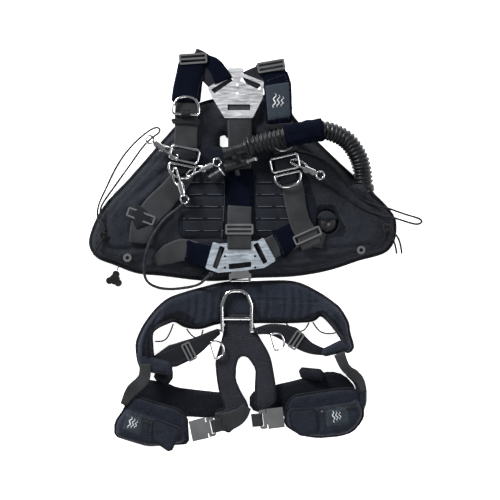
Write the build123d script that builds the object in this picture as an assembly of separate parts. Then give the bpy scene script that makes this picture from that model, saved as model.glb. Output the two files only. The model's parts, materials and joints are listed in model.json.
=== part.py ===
from build123d import *
import os
from math import cos, radians, sin, tan

# Buoyancy compensator vest with its hip harness, lying on its back, in millimetres.
# +Y points to the neck, +X to the reader's right, +Z up from the surface that it lies on.
# The origin is at the middle of the object's footprint, at its lowest level.

# ---- driving dimensions --------------------------------------------------------------------
WEBBING = 50.0            # width of the main harness webbing
WEBBING_T = 2.5           # thickness of one layer of it
WING_T = 28.0             # height of the folded wing
WING_WALL = 2.0           # cover above and below the bladder
WING_SEAM = 6.0           # sewn edge of the cover, seen from above
PANEL_T = 4.0             # padded back panel
ROW_T = 1.2               # webbing rows sewn across the back panel
ROW_PITCH = 25.0
PLATE_T = 3.0             # aluminium shoulder and lumbar plates
BOLT_HOLE_R = 2.4         # holes of the lumbar plate
SHOULDER_HOLE_R = 3.0
ROD_R = 2.5               # wire of the D-rings and frames
HOSE_R = 20.0             # corrugated hose, outside
HOSE_BORE_R = 17.0
SNAP_TILT = 45.0          # how far each snap hook leans round its own axis
GATE_TRAVEL = 10.0
BELT_T = 16.0             # padded back of the hip belt
BELT_SIDE_T = 42.0        # its arms, which stand on edge
LOOP_PAD_T = 9.0          # leg loop padding
LOOP_T = 44.0             # height of a leg loop as it lies
POCKET_T = 22.0
POCKET_WALL = 3.0
GAP = 0.3                 # air between layers that move past each other

# ---- levels above the surface ---------------------------------------------------------------
PANEL_TOP = WING_T + PANEL_T
ROW_TOP = PANEL_TOP + ROW_T
LOW = ROW_TOP + GAP                        # webbing that passes under the plates
LOW_TOP = LOW + WEBBING_T
PLATE_LOW = LOW_TOP + GAP
PLATE_TOP = PLATE_LOW + PLATE_T
UPPER = LOW_TOP                            # second layer of webbing
UPPER_TOP = UPPER + WEBBING_T
RING_Z = 47.3                              # wire of the adjusters and their rings
FRONT_LOW = BELT_SIDE_T - 17.0             # front ends of the hip belt
YOKE_LOW = BELT_T + GAP
YOKE_TOP = YOKE_LOW + 3.7
BUCKLE_Z = 36.0
LINK_Y, LINK_Z = -61.0, 20.0               # axis of the link between vest and harness
FEET_Y, FEET_Z = -166.0, 24.0              # axis of the lift ring

os.makedirs("parts", exist_ok=True)
cord_bends = {}


# ---- helpers --------------------------------------------------------------------------------
def corner_radii(points, closed=False, largest=None):
    """Arc radius of each corner: 0.45 of its shorter run over the tangent of half the turn."""
    corners = range(len(points)) if closed else range(1, len(points) - 1)
    found = []
    for i in corners:
        here = Vector(points[i])
        run_in = here - Vector(points[i - 1])
        run_out = Vector(points[(i + 1) % len(points)]) - here
        half_turn = radians(max(run_in.get_angle(run_out), 0.5) / 2)
        radius = 0.45 * min(run_in.length, run_out.length) / tan(half_turn)
        found.append(radius if largest is None else min(radius, largest))
    return found


def outline(points, largest=8.0):
    """Face inside a closed run of points with rounded corners."""
    if largest == 0:
        return make_face(Polyline(*points, close=True))
    radii = corner_radii(points, closed=True, largest=largest)
    return make_face(FilletPolyline(*points, radius=radii, close=True))


def slab(points, low, high, largest=8.0):
    """Level slab with a given outline between two heights."""
    return Pos(0, 0, low) * extrude(outline(points, largest), high - low)


def disc(x, y, radius, low, high):
    return Pos(x, y, (low + high) / 2) * Cylinder(radius, high - low)


def rod(start, end, radius):
    """Straight round bar between two points."""
    line = Vector(end) - Vector(start)
    plane = Plane(origin=start, z_dir=line)
    return extrude(plane * Circle(radius), line.length)


def wire_path(points, radius, largest=None, closed=False):
    """Round wire bent along points, with an arc at each corner."""
    radii = corner_radii(points, closed, largest)
    path = FilletPolyline(*points, radius=radii, close=closed)
    return sweep(Plane(origin=path @ 0, z_dir=path % 0) * Circle(radius), path=path)


def cord(name, points, diameter):
    """Tube of a free cord, whose smallest bend is kept for the printout."""
    cord_bends[name] = [round(r, 1) for r in corner_radii(points)]
    path = FilletPolyline(*points, radius=corner_radii(points))
    tube = sweep(Plane(origin=path @ 0, z_dir=path % 0) * Circle(diameter / 2), path=path)
    expected = 3.14159 * diameter ** 2 / 4 * path.length
    print(name, "length", round(path.length, 1), "volume ratio", round(tube.volume / expected, 3))
    return tube


def turned(x, y, degrees_ccw, z=0.0):
    """Location of a piece drawn about the origin and turned in the level plane."""
    return Location((x, y, z), (0, 0, degrees_ccw))


def d_ring(x, y, z, width, depth, turn, wire=ROD_R):
    """D-ring: its straight side is centred on x, y, and its arc bulges towards local +Y."""
    half = width / 2
    points = [(-half, 0), (half, 0), (half, 0.45 * depth), (0.35 * width, 0.95 * depth)]
    points += [(0, 1.1 * depth), (-0.35 * width, 0.95 * depth), (-half, 0.45 * depth)]
    radii = corner_radii(points, closed=True, largest=half)
    radii[0] = radii[1] = wire * 1.6
    path = FilletPolyline(*points, radius=radii, close=True)
    ring = sweep(Plane(origin=path @ 0, z_dir=path % 0) * Circle(wire), path=path)
    return turned(x, y, turn, z) * ring


def frame_plate(width, height, bar, thick, middle=True):
    """Flat buckle frame centred on the origin: one or two slots and rounded corners."""
    plate = extrude(RectangleRounded(width, height, 4.0), thick)
    inner = height - 2 * bar
    if middle:
        slot = (inner - bar) / 2
        for side in (-1, 1):
            centre = side * (bar + slot) / 2
            plate -= Pos(0, centre, 0) * extrude(Rectangle(width - 2 * bar, slot), thick)
        return plate
    return plate - extrude(Rectangle(width - 2 * bar, inner), thick)


def save(name, *solids):
    """Write one node of one or more separate solids."""
    found = [solid for item in solids for solid in item.solids()]
    export_step(found[0] if len(found) == 1 else Compound(found), f"parts/{name}.step")


# ---- wing ------------------------------------------------------------------------------------
WING = [(-92, 306), (0, 324), (66, 320), (97, 305), (106, 276), (195, 187), (298, 92),
        (319, 48), (300, 4), (240, -16), (178, -36), (108, -48), (14, -52), (-70, -58),
        (-172, -47), (-221, -42), (-267, -25), (-306, -8), (-320, 26), (-290, 90),
        (-232, 154), (-137, 262)]
WINDOW = [(-50, 216), (4, 216), (4, 246), (-50, 246)]
NOTCH_X, NOTCH_Y = (229.0, 275.5), 121.0    # the hose end lies in this gap of the edge
HOSE_START = (252, 136, 21.5)
VALVE_X, VALVE_Y, VALVE_R = 173.0, 61.0, 26.0
GROMMETS = [(-240, -13), (245, 3)]
GROMMET_R, GROMMET_BORE_R, FLANGE_R = 5.5, 3.8, 8.7
PULL_START, PULL_END = (-254, -12, 8), (-262.6, -39.3, 8)
PORT_Z = 14.0


def notch(margin):
    left, right = NOTCH_X[0] - margin, NOTCH_X[1] + margin
    return slab([(left, NOTCH_Y - margin), (right, NOTCH_Y - margin), (right, 220),
                 (left, 220)], -1, WING_T + 1, 0)


def wing_body(inset, low, high):
    """Slab of the wing's outline drawn in by an inset, open at the window and the hose."""
    face = outline(WING, 30.0)
    if inset:
        face = offset(face, amount=-inset)
    body = Pos(0, 0, low) * extrude(face, high - low)
    window = offset(outline(WINDOW, 6.0), amount=inset) if inset else outline(WINDOW, 6.0)
    body -= Pos(0, 0, low) * extrude(window, high - low)
    body -= notch(inset)
    for x, y in GROMMETS:
        body -= disc(x, y, GROMMET_R + GAP / 3 + inset, low, high)
    return body


def make_wing():
    shell = wing_body(0, 0, WING_T) - wing_body(WING_SEAM, WING_WALL, WING_T - WING_WALL)
    shell -= disc(VALVE_X, VALVE_Y, VALVE_R, WING_T / 2, WING_T)
    x = HOSE_START[0]
    shell -= rod((x, NOTCH_Y + 1, PORT_Z), (x, NOTCH_Y - 6.9, PORT_Z), 5.0)
    shell -= rod(PULL_START, PULL_END, 1.4)
    bladder = wing_body(WING_SEAM + 1, WING_WALL + GAP, WING_T - WING_WALL - GAP)
    bladder -= disc(VALVE_X, VALVE_Y, VALVE_R + 1, 10, WING_T)
    bladder -= rod((-252, -5, 8), PULL_END, 3.0)
    valve = disc(VALVE_X, VALVE_Y, VALVE_R - 2, 10.3, 20)
    valve += disc(VALVE_X, VALVE_Y, VALVE_R - 6, 20, 25)
    rings = []
    for x, y in GROMMETS:
        eyelet = disc(x, y, GROMMET_R, 0, WING_T) + disc(x, y, FLANGE_R, WING_T, WING_T + 1.5)
        rings.append(eyelet - disc(x, y, GROMMET_BORE_R, -1, WING_T + 2))
    save("wing_shell", shell)
    save("air_bladder", bladder)
    save("dump_valve", valve)
    save("grommets", *rings)


# ---- back panel and plates -------------------------------------------------------------------
PANEL = [(-134, 40), (-95, 27), (-20, 24), (60, 27), (140, 35), (152, 60), (150, 110),
         (122, 176), (60, 214), (-34, 214), (-54, 218), (-96, 218), (-130, 160)]
ROW_LEVELS = [53 + ROW_PITCH * i for i in range(5)]
SHOULDER = [(-33, 379), (3, 379), (0, 368), (43, 351), (41, 318), (20, 276), (-38, 276),
            (-64, 319), (-73, 339), (-28, 366)]
LUMBAR = [(-62, 20), (-50, 16), (30, 22), (42, 29), (68, -19), (43, -34), (6, -39),
          (-51, -44), (-78, -35)]
LUMBAR_X, LUMBAR_Y = -6.0, -21.6            # middle of the four bolt holes
LUMBAR_DX, LUMBAR_DY = 62.4, 23.4
SHOULDER_X, SHOULDER_Y, SHOULDER_PITCH = -12.0, 336.0, 18.0


def make_back_panel():
    panel = slab(PANEL, WING_T, PANEL_TOP, 15.0)
    for y in ROW_LEVELS:
        for x_from, x_to in ((-124, -38), (25, 128)):
            row = [(x_from, y - 10), (x_to, y - 10), (x_to, y + 10), (x_from, y + 10)]
            if y > 150 and x_to > 0:
                row = [(x_from, y - 10), (x_to - 12, y - 10), (x_to - 22, y + 10),
                       (x_from, y + 10)]
            panel += slab(row, PANEL_TOP, ROW_TOP, 0)
    save("back_panel", panel)


def make_plates():
    shoulder = slab(SHOULDER, PLATE_LOW, PLATE_TOP, 4.0)
    slots = [[(-66, 335), (-24, 360), (-20, 354), (-60, 326)],
             [(-2, 361), (36, 346), (36, 333), (-6, 353)],
             [(-32, 292), (15, 292), (15, 304), (-32, 304)]]
    for slot in slots:
        shoulder -= slab(slot, PLATE_LOW - 1, PLATE_TOP + 1, 2.0)
    for side in (-1, 1):
        y = SHOULDER_Y + side * SHOULDER_PITCH / 2
        shoulder -= disc(SHOULDER_X, y, SHOULDER_HOLE_R, PLATE_LOW - 1, PLATE_TOP + 1)
    lumbar = slab(LUMBAR, PLATE_LOW, PLATE_TOP, 4.0)
    slots = [[(-48, 12), (-37, 8), (-54, -37), (-63, -32)],
             [(21, 14), (31, 19), (51, -22), (42, -26)],
             [(-30, -26), (17, -21), (17, -32), (-29, -37)]]
    for slot in slots:
        lumbar -= slab(slot, PLATE_LOW - 1, PLATE_TOP + 1, 2.0)
    for x_side in (-1, 1):
        for y_side in (-1, 1):
            x = LUMBAR_X + x_side * LUMBAR_DX / 2
            y = LUMBAR_Y + y_side * LUMBAR_DY / 2
            lumbar -= disc(x, y, BOLT_HOLE_R, PLATE_LOW - 1, PLATE_TOP + 1)
    save("shoulder_plate", shoulder)
    save("lumbar_plate", lumbar)


# ---- vest webbing ----------------------------------------------------------------------------
SPINE_X = -7.5
SPINE_LEFT, SPINE_RIGHT = SPINE_X - WEBBING / 2, SPINE_X + WEBBING / 2
TRIGLIDE_W, TRIGLIDE_H, TRIGLIDE_T = 58.0, 22.0, 2.5


def across(left, right, low, high):
    return [(left, low), (right, low), (right, high), (left, high)]


def make_spine():
    spine = slab(across(SPINE_LEFT, SPINE_RIGHT, 32, 302), LOW, LOW_TOP, 0)
    spine += slab(across(SPINE_LEFT, SPINE_RIGHT, 32, 90), LOW_TOP, PLATE_TOP + 0.2, 0)
    spine += slab(across(SPINE_LEFT - 2, SPINE_RIGHT + 3, 90, 169), LOW_TOP, PLATE_TOP, 3)
    front = slab(across(SPINE_LEFT, SPINE_RIGHT, 3, 90), PLATE_TOP + 0.2, PLATE_TOP + 2.7, 0)
    save("spine_webbing", spine + front)


def make_shoulder_straps():
    under = [(-64, 321), (-20, 350), (-26, 366), (-79, 402), (-128, 402), (-128, 388),
             (-70, 340)]
    over = [(-128, 402), (-79, 402), (-88, 340), (-91, 264), (-95, 208), (-141, 208),
            (-138, 264), (-143, 320)]
    pad = [(-130, 392), (-77, 392), (-86, 340), (-88, 316), (-145, 318), (-143, 330)]
    left = slab(under, LOW, LOW_TOP, 0) + slab(over, UPPER, UPPER_TOP, 0)
    left += slab(pad, UPPER_TOP, UPPER_TOP + 4, 3)
    save("shoulder_strap_left", left)
    under = [(-4, 349), (38, 331), (44, 352), (89, 380), (86, 398), (27, 388), (-2, 366)]
    over = [(27, 388), (86, 398), (90, 369), (97, 346), (98, 264), (112, 206), (62, 193),
            (50, 264), (46, 320), (46, 355), (31, 371)]
    pad = [(31, 371), (90, 371), (98, 347), (99, 270), (51, 264), (46, 320), (46, 355)]
    right = slab(under, LOW, LOW_TOP, 0) + slab(over, UPPER, UPPER_TOP, 0)
    right += slab(pad, UPPER_TOP, UPPER_TOP + 4, 3)
    save("shoulder_strap_right", right)
    glide = frame_plate(TRIGLIDE_W, TRIGLIDE_H, 4.0, TRIGLIDE_T)
    level = UPPER_TOP + 4 + GAP
    save("triglide_left", turned(-103, 398, 4, level) * glide)
    save("triglide_right", turned(58, 383, 10, level) * glide)


CHEST_LEFT = (-118, 283)
CHEST_RIGHT = (80, 242)
CHEST_Z = UPPER_TOP + 4 + GAP + ROD_R


def make_chest_ring():
    """The left ring lies towards the neck and swings."""
    save("chest_ring_left", d_ring(*CHEST_LEFT, CHEST_Z, 54, 34, -3))
    keeper = slab(across(-128, -108, 276, 290), UPPER_TOP, CHEST_Z + ROD_R + 2.5, 2)
    x, y = CHEST_LEFT
    slot = rod((x - 30, y, CHEST_Z), (x + 30, y, CHEST_Z), ROD_R + 0.6)
    keeper -= turned(x, y, -3) * (Pos(-x, -y, 0) * slot)
    band = slab([(-142, 264), (-88, 264), (-88, 273), (-142, 273)], UPPER_TOP, UPPER_TOP + 3, 2)
    right = slab([(46, 252), (104, 254), (105, 262), (47, 260)], UPPER_TOP, UPPER_TOP + 3, 2)
    save("strap_keepers", keeper, band, right)


SIDE_LOW = LOW_TOP + GAP


def make_side_straps():
    """Upper pair from the adjusters, lower pair from the lumbar plate, and their slides."""
    left = [(-143, 168), (-99, 148), (-172, 61), (-188, 9), (-234, 24), (-213, 80)]
    right = [(79, 136), (122, 150), (139, 65), (159, 24), (128, -7), (97, 45)]
    straps = [slab(shape, SIDE_LOW, SIDE_LOW + WEBBING_T, 0) for shape in (left, right)]
    top = SIDE_LOW + WEBBING_T + GAP
    slide = frame_plate(60, 20, 3.5, TRIGLIDE_T, middle=False)
    glide = frame_plate(TRIGLIDE_W, TRIGLIDE_H, 4.0, TRIGLIDE_T)
    save("webbing_slides", turned(-211, 73, -21, top) * slide,
         turned(133, 33, 24, top) * slide, turned(SPINE_X, 46, 0, PLATE_TOP + 3) * glide)
    left = [(-42, 6), (-62, 8), (-120, 22), (-152, 14), (-188, -13), (-172, -23),
            (-122, -18), (-79, -34), (-56, -38)]
    right = [(24, 12), (41, 16), (110, 57), (190, 16), (66, -22), (47, -27)]
    straps += [slab(shape, LOW, LOW_TOP, 0) for shape in (left, right)]
    save("side_straps", *straps)


# ---- adjusters and snaps -----------------------------------------------------------------------
ADJUSTERS = {"left": (-120, 200, -12), "right": (86, 182, 13)}
ADJUSTER_W, ADJUSTER_H = 58.0, 28.0
SNAPS = {
    # where the hook goes round a ring, the way it points, and the side of its arm
    "left_upper": ((-148.4, 206), (-0.81, 0.586), -1),
    "left_middle": ((-99.6, 166.5), (0.894, 0.447), 1),
    "left_lower": ((-138, 153.3), (0.25, -0.968), -1),
    "right": ((115.9, 181), (0.92, -0.392), 1),
}
HOOK_X, HOOK_Y = -15.0, 8.0                # middle of the hook's gap
EYE_X, EYE_R, EYE_WIRE = 34.0, 8.0, 2.0


def make_adjusters():
    """Wire frames at the strap ends, each with a D-ring below it for the snaps.

    The right chest ring is held down by the hose, so it is fixed as well.
    """
    frames, rings = [], []
    for x, y, turn in ADJUSTERS.values():
        half_w, half_h = ADJUSTER_W / 2, ADJUSTER_H / 2
        corners = [(-half_w, -half_h), (half_w, -half_h), (half_w, half_h), (-half_w, half_h)]
        frame = wire_path(corners, ROD_R, largest=6.0, closed=True)
        frames.append(turned(x, y, turn, RING_Z) * frame)
        drop = half_h + 2 * ROD_R + 3.5
        back = radians(turn)
        rings.append(d_ring(x + drop * sin(back), y - drop * cos(back), RING_Z, 54, 25,
                            turn + 180))
    rings.append(d_ring(*CHEST_RIGHT, UPPER_TOP + GAP + ROD_R, 44, 32, 192))
    save("adjusters", *frames)
    save("fixed_rings", *rings)


def snap_planes(spot, way, side):
    """Tilted plane of a snap's hook and level plane of its eye; X runs from hook to eye."""
    along = Vector(way[0], way[1], 0).normalized()
    across_way = Vector(-along.Y, along.X, 0) * side
    tilt = radians(SNAP_TILT)
    arm = across_way * cos(tilt) - Vector(0, 0, 1) * sin(tilt)
    middle = Vector(spot[0], spot[1], RING_Z)
    start = middle - along * HOOK_X - arm * HOOK_Y
    hook = Plane(origin=start, x_dir=along, z_dir=along.cross(arm))
    eye = Plane(origin=start, x_dir=along, z_dir=(0, 0, 1))
    return hook, eye


def make_snaps():
    barrel = rod((-2, 0, 0), (22, 0, 0), 7.0)
    arm = wire_path([(9, 5, 0), (-7, 16, 0), (-25, 16, 0), (-34, 8, 0), (-32, 0, 0),
                     (-22, 0, 0)], 2.4, largest=8.0)
    barrel = barrel + arm - rod((-2, 0, 0), (17, 0, 0), 2.05)
    barrel -= rod((17.9, 0, 0), (22, 0, 0), 1.55)
    barrel -= Pos(4 + GATE_TRAVEL / 2, -5, 0) * Box(GATE_TRAVEL + 4.4, 10, 4.4)
    gate = rod((-21.5, 0, 0), (6.5, 0, 0), 2.0) + rod((4, 0, 0), (4, -10, 0), 1.7)
    eye = rod((18.2, 0, 0), (22.3, 0, 0), 1.5) + rod((22.3, 0, 0), (27, 0, 0), 3.5)
    eye += Pos(EYE_X, 0, 0) * Torus(EYE_R, EYE_WIRE)
    bodies = []
    for name, (spot, way, side) in SNAPS.items():
        hook_plane, eye_plane = snap_planes(spot, way, side)
        bodies.append(hook_plane.location * barrel)
        save(f"snap_gate_{name}", hook_plane.location * gate)
        save(f"snap_eye_{name}", eye_plane.location * eye)
        centre = eye_plane.from_local_coords((EYE_X, 0, 0))
        print(f"snap {name}: axis {tuple(round(v, 2) for v in hook_plane.origin)},",
              f"eye {tuple(round(v, 1) for v in centre)}")
    save("bolt_snap_bodies", *bodies)


# ---- inflator and hose ---------------------------------------------------------------------------
WRAP = [(158, 248.3, 64.3), (90, 235.4, 69.6)]
HOSE = [HOSE_START, (247, 184, 24), (218, 233, 42), (165, 249.7, 63.8), (83, 234, 70),
        (8, 214, 58)]
TUBE_START, TUBE_END = (-40, 199.8, 57), (8, 214, 58)
TUBE_R = 12.5
BLOCK_START, BLOCK_END, BLOCK_R = (-38, 171.5, 54), (4, 183.5, 54), 9.0
MOUTH_START, MOUTH_END = (-38, 168.5, 54), (-67, 147, 52)
BUTTON_IN, BUTTON_OUT, BUTTON_R = (-14, 171, 54), (-10, 158, 54), 5.0
EXHAUST = (-18, 193)
BUTTON_FIT = 0.05
NIPPLE_TILT, NIPPLE_R, NIPPLE_L = 35.0, 4.5, 18.0
NIPPLE_ELBOW_R = 7.5


def make_hose():
    path = FilletPolyline(*HOSE, radius=corner_radii(HOSE))
    ring = Plane(origin=path @ 0, z_dir=path % 0)
    hose = sweep(ring * Circle(HOSE_R), path=path) - sweep(ring * Circle(HOSE_BORE_R), path=path)
    save("corrugated_hose", hose)
    wrap = rod(*WRAP, HOSE_R + 4.0) - sweep(ring * Circle(HOSE_R + GAP), path=path)
    save("hose_wrap", wrap)
    start = Vector(*HOSE_START)
    back = (path % 0) * -1
    elbow = rod(start, start + back * 12, HOSE_R) - rod(start, start + back * 8, HOSE_BORE_R - 3)
    x = HOSE_START[0]
    elbow += rod((x, NOTCH_Y + 6, PORT_Z), (x, NOTCH_Y - 6.5, PORT_Z), 4.7)
    save("hose_elbow", elbow)
    print("hose length", round(path.length, 1))


def make_inflator():
    tube = rod(TUBE_START, TUBE_END, TUBE_R)
    block = rod(BLOCK_START, BLOCK_END, BLOCK_R)
    web = slab([(-35, 174), (-2, 183), (-4, 206), (-37, 197)], 48, 62, 3)
    body = tube + block + web
    body -= rod(BUTTON_IN, BUTTON_OUT, BUTTON_R)
    body -= disc(*EXHAUST, BUTTON_R, 57, 80)
    tilt = radians(NIPPLE_TILT)
    flat = (Vector(*BLOCK_END) - Vector(*BLOCK_START)).normalized()
    along = flat * cos(tilt) + Vector(0, 0, 1) * sin(tilt)
    elbow = Vector(*BLOCK_END)
    body += Location(elbow) * Sphere(NIPPLE_ELBOW_R)
    save("inflator_body", body)
    foot = elbow + along * (NIPPLE_ELBOW_R + 0.1)
    nipple = rod(foot, foot + along * 3, 6.0)
    nipple += rod(foot + along * 3, foot + along * (3 + NIPPLE_L), NIPPLE_R)
    save("inflator_nipple", nipple)
    middle = foot + along * (3 + NIPPLE_L / 2)
    print("nipple middle", middle, "axis", along)
    line = Vector(*MOUTH_END) - Vector(*MOUTH_START)
    start = Plane(origin=Vector(*MOUTH_START) + line * 0.1, z_dir=line)
    end = Plane(origin=MOUTH_END, z_dir=line)
    funnel = loft([start * Circle(8), end * Ellipse(12, 9)])
    funnel -= loft([start * Circle(5), end * Ellipse(9, 6)])
    funnel -= rod(BLOCK_START, BLOCK_END, BLOCK_R)
    save("mouthpiece", funnel)
    push = (Vector(*BUTTON_OUT) - Vector(*BUTTON_IN)).normalized()
    inner = Vector(*BUTTON_IN) + push * 3.7
    save("inflate_button", rod(inner, inner + push * 12, BUTTON_R - BUTTON_FIT))
    save("exhaust_button", disc(*EXHAUST, BUTTON_R - BUTTON_FIT, 64, 72.5))


# ---- cords -----------------------------------------------------------------------------------
BUNGEE_D, CORD_D = 4.0, 6.0
LEFT_LOOP = [(-291.5, 45, 32), (-300, 62, 32), (-303, 84, 27), (-298, 107, 12),
             (-286, 133, 4), (-272, 165, 2.6), (-252, 199, 2.6), (-226, 228, 8),
             (-201, 247, 26), (-182, 256, 46), (-170, 253, 60), (-171, 243, 66),
             (-183, 236, 62), (-200, 224, 43), (-214, 209, 27), (-229, 190, 13),
             (-245, 169, 5), (-262, 146, 2.6), (-277, 124, 5), (-290, 105, 17),
             (-297, 86, 31), (-294, 65, 32), (-286.5, 45, 32)]
MAIN_CORD = [(-120.3, 107, 50), (-124, 98, 45.5), (-134, 89, 43), (-148, 79, 43),
             (-164, 65, 43.5), (-179, 45, 44), (-191, 24, 44), (-199, 2, 43),
             (-204, -20, 36), (-205, -42, 34), (-203, -58, 22), (-193, -70, 8),
             (-174, -77, 3.6), (-151, -79, 3.6), (-129, -77, 3.6), (-109, -74, 5),
             (-95, -70, 15), (-86, -65, 27), (-78, -57, 34), (-70, -50, 34)]
RIGHT_LOOP = [(112, 209, 42), (127, 206, 37), (147, 200, 31), (170, 188, 31),
              (193, 171, 31), (210, 150, 31), (226, 127, 31), (248, 106, 31),
              (279, 95, 31), (306, 88, 32), (330, 80, 16), (352, 74, 4),
              (370, 69, 2.6), (376, 62, 2.6), (366, 56, 2.6), (348, 60, 5),
              (331, 65, 17), (311, 70, 33), (281, 76, 31), (253, 87, 31),
              (225, 103, 31), (203, 120, 33), (186, 134, 39), (173, 144, 45),
              (160, 156, 50)]
KNOTS = [(-290, 33, 11, 9), (297, 50, 10, 9), (-66, -47, 4.5, 7.5)]
TAILS = [[(-294.5, 21.5, 31), (-299, 14, 32), (-305, 3, 30), (-310, -8, 24)],
         [(304, 40.5, 31), (309, 30, 32), (316, 14, 28), (320, -4, 18)],
         [(308, 45.5, 31), (318, 34, 32), (327, 18, 26), (331, -4, 14)]]


def make_cords():
    save("cord_left_loop", cord("cord_left_loop", LEFT_LOOP, BUNGEE_D))
    save("cord_left_main", cord("cord_left_main", MAIN_CORD, CORD_D))
    save("cord_right_loop", cord("cord_right_loop", RIGHT_LOOP, BUNGEE_D))
    knots = [disc(x, y, r, WING_T, WING_T + height) for x, y, r, height in KNOTS]
    save("cord_knots", *knots)
    save("cord_tails", *[cord("cord_tails", points, BUNGEE_D) for points in TAILS])
    save("pull_cord", rod(PULL_START, PULL_END, 1.0))
    lobes = disc(-268, -58, 11, 1, 15)
    for turn in (75, 195, 315):
        x = -268 + 11 * cos(radians(turn))
        y = -58 + 11 * sin(radians(turn))
        lobes += disc(x, y, 7.5, 1, 15)
    save("pull_knob", lobes)


# ---- harness -----------------------------------------------------------------------------------
def make_link():
    """Webbing and steel buckle that hang the harness from the lumbar plate."""
    web = slab([(-30, -56), (18, -56), (10, -38), (-22, -38)], WING_T + GAP, WING_T + 4, 2)
    ends = []
    for x in (-26, 14):
        ends.append(slab(across(x - 3, x + 3, -58, -46), WING_T + 4, WING_T + 7, 0))
        ends.append(slab(across(x - 2, x + 2, -63, -50), LINK_Z, WING_T + 7, 0)
                    - slab(across(x - 3, x + 3, -56.5, -40), 0, WING_T + GAP, 0))
    bar = rod((-28, LINK_Y, LINK_Z), (16, LINK_Y, LINK_Z), 2.5)
    link = web + bar
    for piece in ends:
        link += piece
    save("link_buckle", link)


BELT_BACK = [(-33, -66), (21, -65), (103, -65), (153, -85), (190, -110), (166, -134),
             (143, -144), (93, -147), (27, -147), (-46, -148), (-89, -159), (-120, -156),
             (-141, -145), (-178, -119), (-155, -100), (-122, -88), (-83, -77)]
BELT_LEFT = [(-178, -119), (-141, -145), (-155, -147), (-188, -166), (-188, -240),
             (-213, -240), (-221, -196), (-211, -165), (-197, -142)]
BELT_LEFT_END = [(-220, -205), (-188, -219), (-146, -231), (-147, -258), (-186, -252),
                 (-214, -247)]
BELT_RIGHT = [(190, -110), (166, -134), (203, -177), (214, -206), (228, -200),
              (221, -171), (217, -148), (203, -123)]
BELT_RIGHT_END = [(161, -204), (205, -182), (228, -200), (214, -208), (166, -219)]


def make_belt():
    belt = slab(BELT_BACK, 0, BELT_T, 3.0)
    belt += slab(BELT_LEFT, 0, BELT_SIDE_T, 0) + slab(BELT_RIGHT, 0, BELT_SIDE_T, 0)
    belt += slab(BELT_LEFT_END, FRONT_LOW, BELT_SIDE_T, 0)
    belt += slab(BELT_RIGHT_END, FRONT_LOW, BELT_SIDE_T, 0)
    loop = rod((-22, LINK_Y, LINK_Z), (10, LINK_Y, LINK_Z), 5.2)
    tab = slab(across(-22, 10, -76, LINK_Y - 3), BELT_T - 3, LINK_Z, 0)
    belt += loop + tab
    belt -= rod((-23, LINK_Y, LINK_Z), (11, LINK_Y, LINK_Z), 2.5 + GAP)
    save("hip_belt", belt)


STRAP_TOP = FRONT_LOW
STRAP_LOW = FRONT_LOW - WEBBING_T
RING_X, RING_HALF = -13.0, 30.0
AXLE_R, AXLE_BORE_R = 3.0, 3.06


def make_front_straps():
    left = slab([(-186, -214), (-106, -182), (-58, -160), (-48.5, -161), (-48.5, -173),
                 (-89, -209), (-135, -236), (-170, -240)], STRAP_LOW, STRAP_TOP, 0)
    right = slab([(22.5, -160), (87, -148), (159, -205), (180, -204), (166, -216),
                  (128, -202), (40, -172), (22.5, -172)], STRAP_LOW, STRAP_TOP, 0)
    out = []
    for strap, x in ((left, -52), (right, 26)):
        block = slab(across(x - 3.5, x + 3.5, FEET_Y - 6, FEET_Y + 6), YOKE_TOP + GAP,
                     FEET_Z + 5, 0)
        bore = rod((x - 10, FEET_Y, FEET_Z), (x + 10, FEET_Y, FEET_Z), AXLE_BORE_R)
        out.append(strap + block - bore)
    save("belt_straps", *out)
    top = STRAP_TOP + GAP
    slide = frame_plate(40, 20, 3.5, TRIGLIDE_T)
    save("belt_slides", turned(-112, -208, 117, top) * slide,
         turned(110, -184, 57, top) * slide)


def make_rings():
    """Lift ring on two short axles and the two small rings of the front straps."""
    left, right = RING_X - RING_HALF, RING_X + RING_HALF
    path = [(left, FEET_Y, FEET_Z), (left - 1, -112, FEET_Z), (left + 8, -88, FEET_Z),
            (RING_X - 9, -82, FEET_Z), (RING_X + 9, -82, FEET_Z), (right - 8, -88, FEET_Z),
            (right + 1, -112, FEET_Z), (right, FEET_Y, FEET_Z)]
    ring = wire_path(path, 4.0, largest=22.0)
    ring += rod((left, -140, FEET_Z), (right, -140, FEET_Z), 3.5)
    for x, side in ((left, -1), (right, 1)):
        ring += rod((x - side * 2, FEET_Y, FEET_Z), (x + side * 13, FEET_Y, FEET_Z), AXLE_R)
    save("lift_ring", ring)
    z = STRAP_TOP + GAP + 2.2
    save("hip_ring_left", d_ring(-63, -206, z, 36, 22, 286, 2.2))
    save("hip_ring_right", d_ring(62, -189, z, 36, 22, 286, 2.2))


YOKE = [(-31, -128), (12, -128), (27, -170), (49, -206), (57, -225), (62, -252),
        (66, -276), (68, -312), (43, -329), (26, -326), (26, -285), (28, -245), (20, -231),
        (8, -216), (-9, -218), (-16, -237), (-17, -268), (-6, -293), (8, -316), (12, -341),
        (-33, -379), (-57, -331), (-36, -327), (-49, -290), (-54, -258), (-56, -229),
        (-43, -185)]


def make_crotch_strap():
    save("crotch_strap", slab(YOKE, YOKE_LOW, YOKE_TOP, 3.0))


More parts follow.
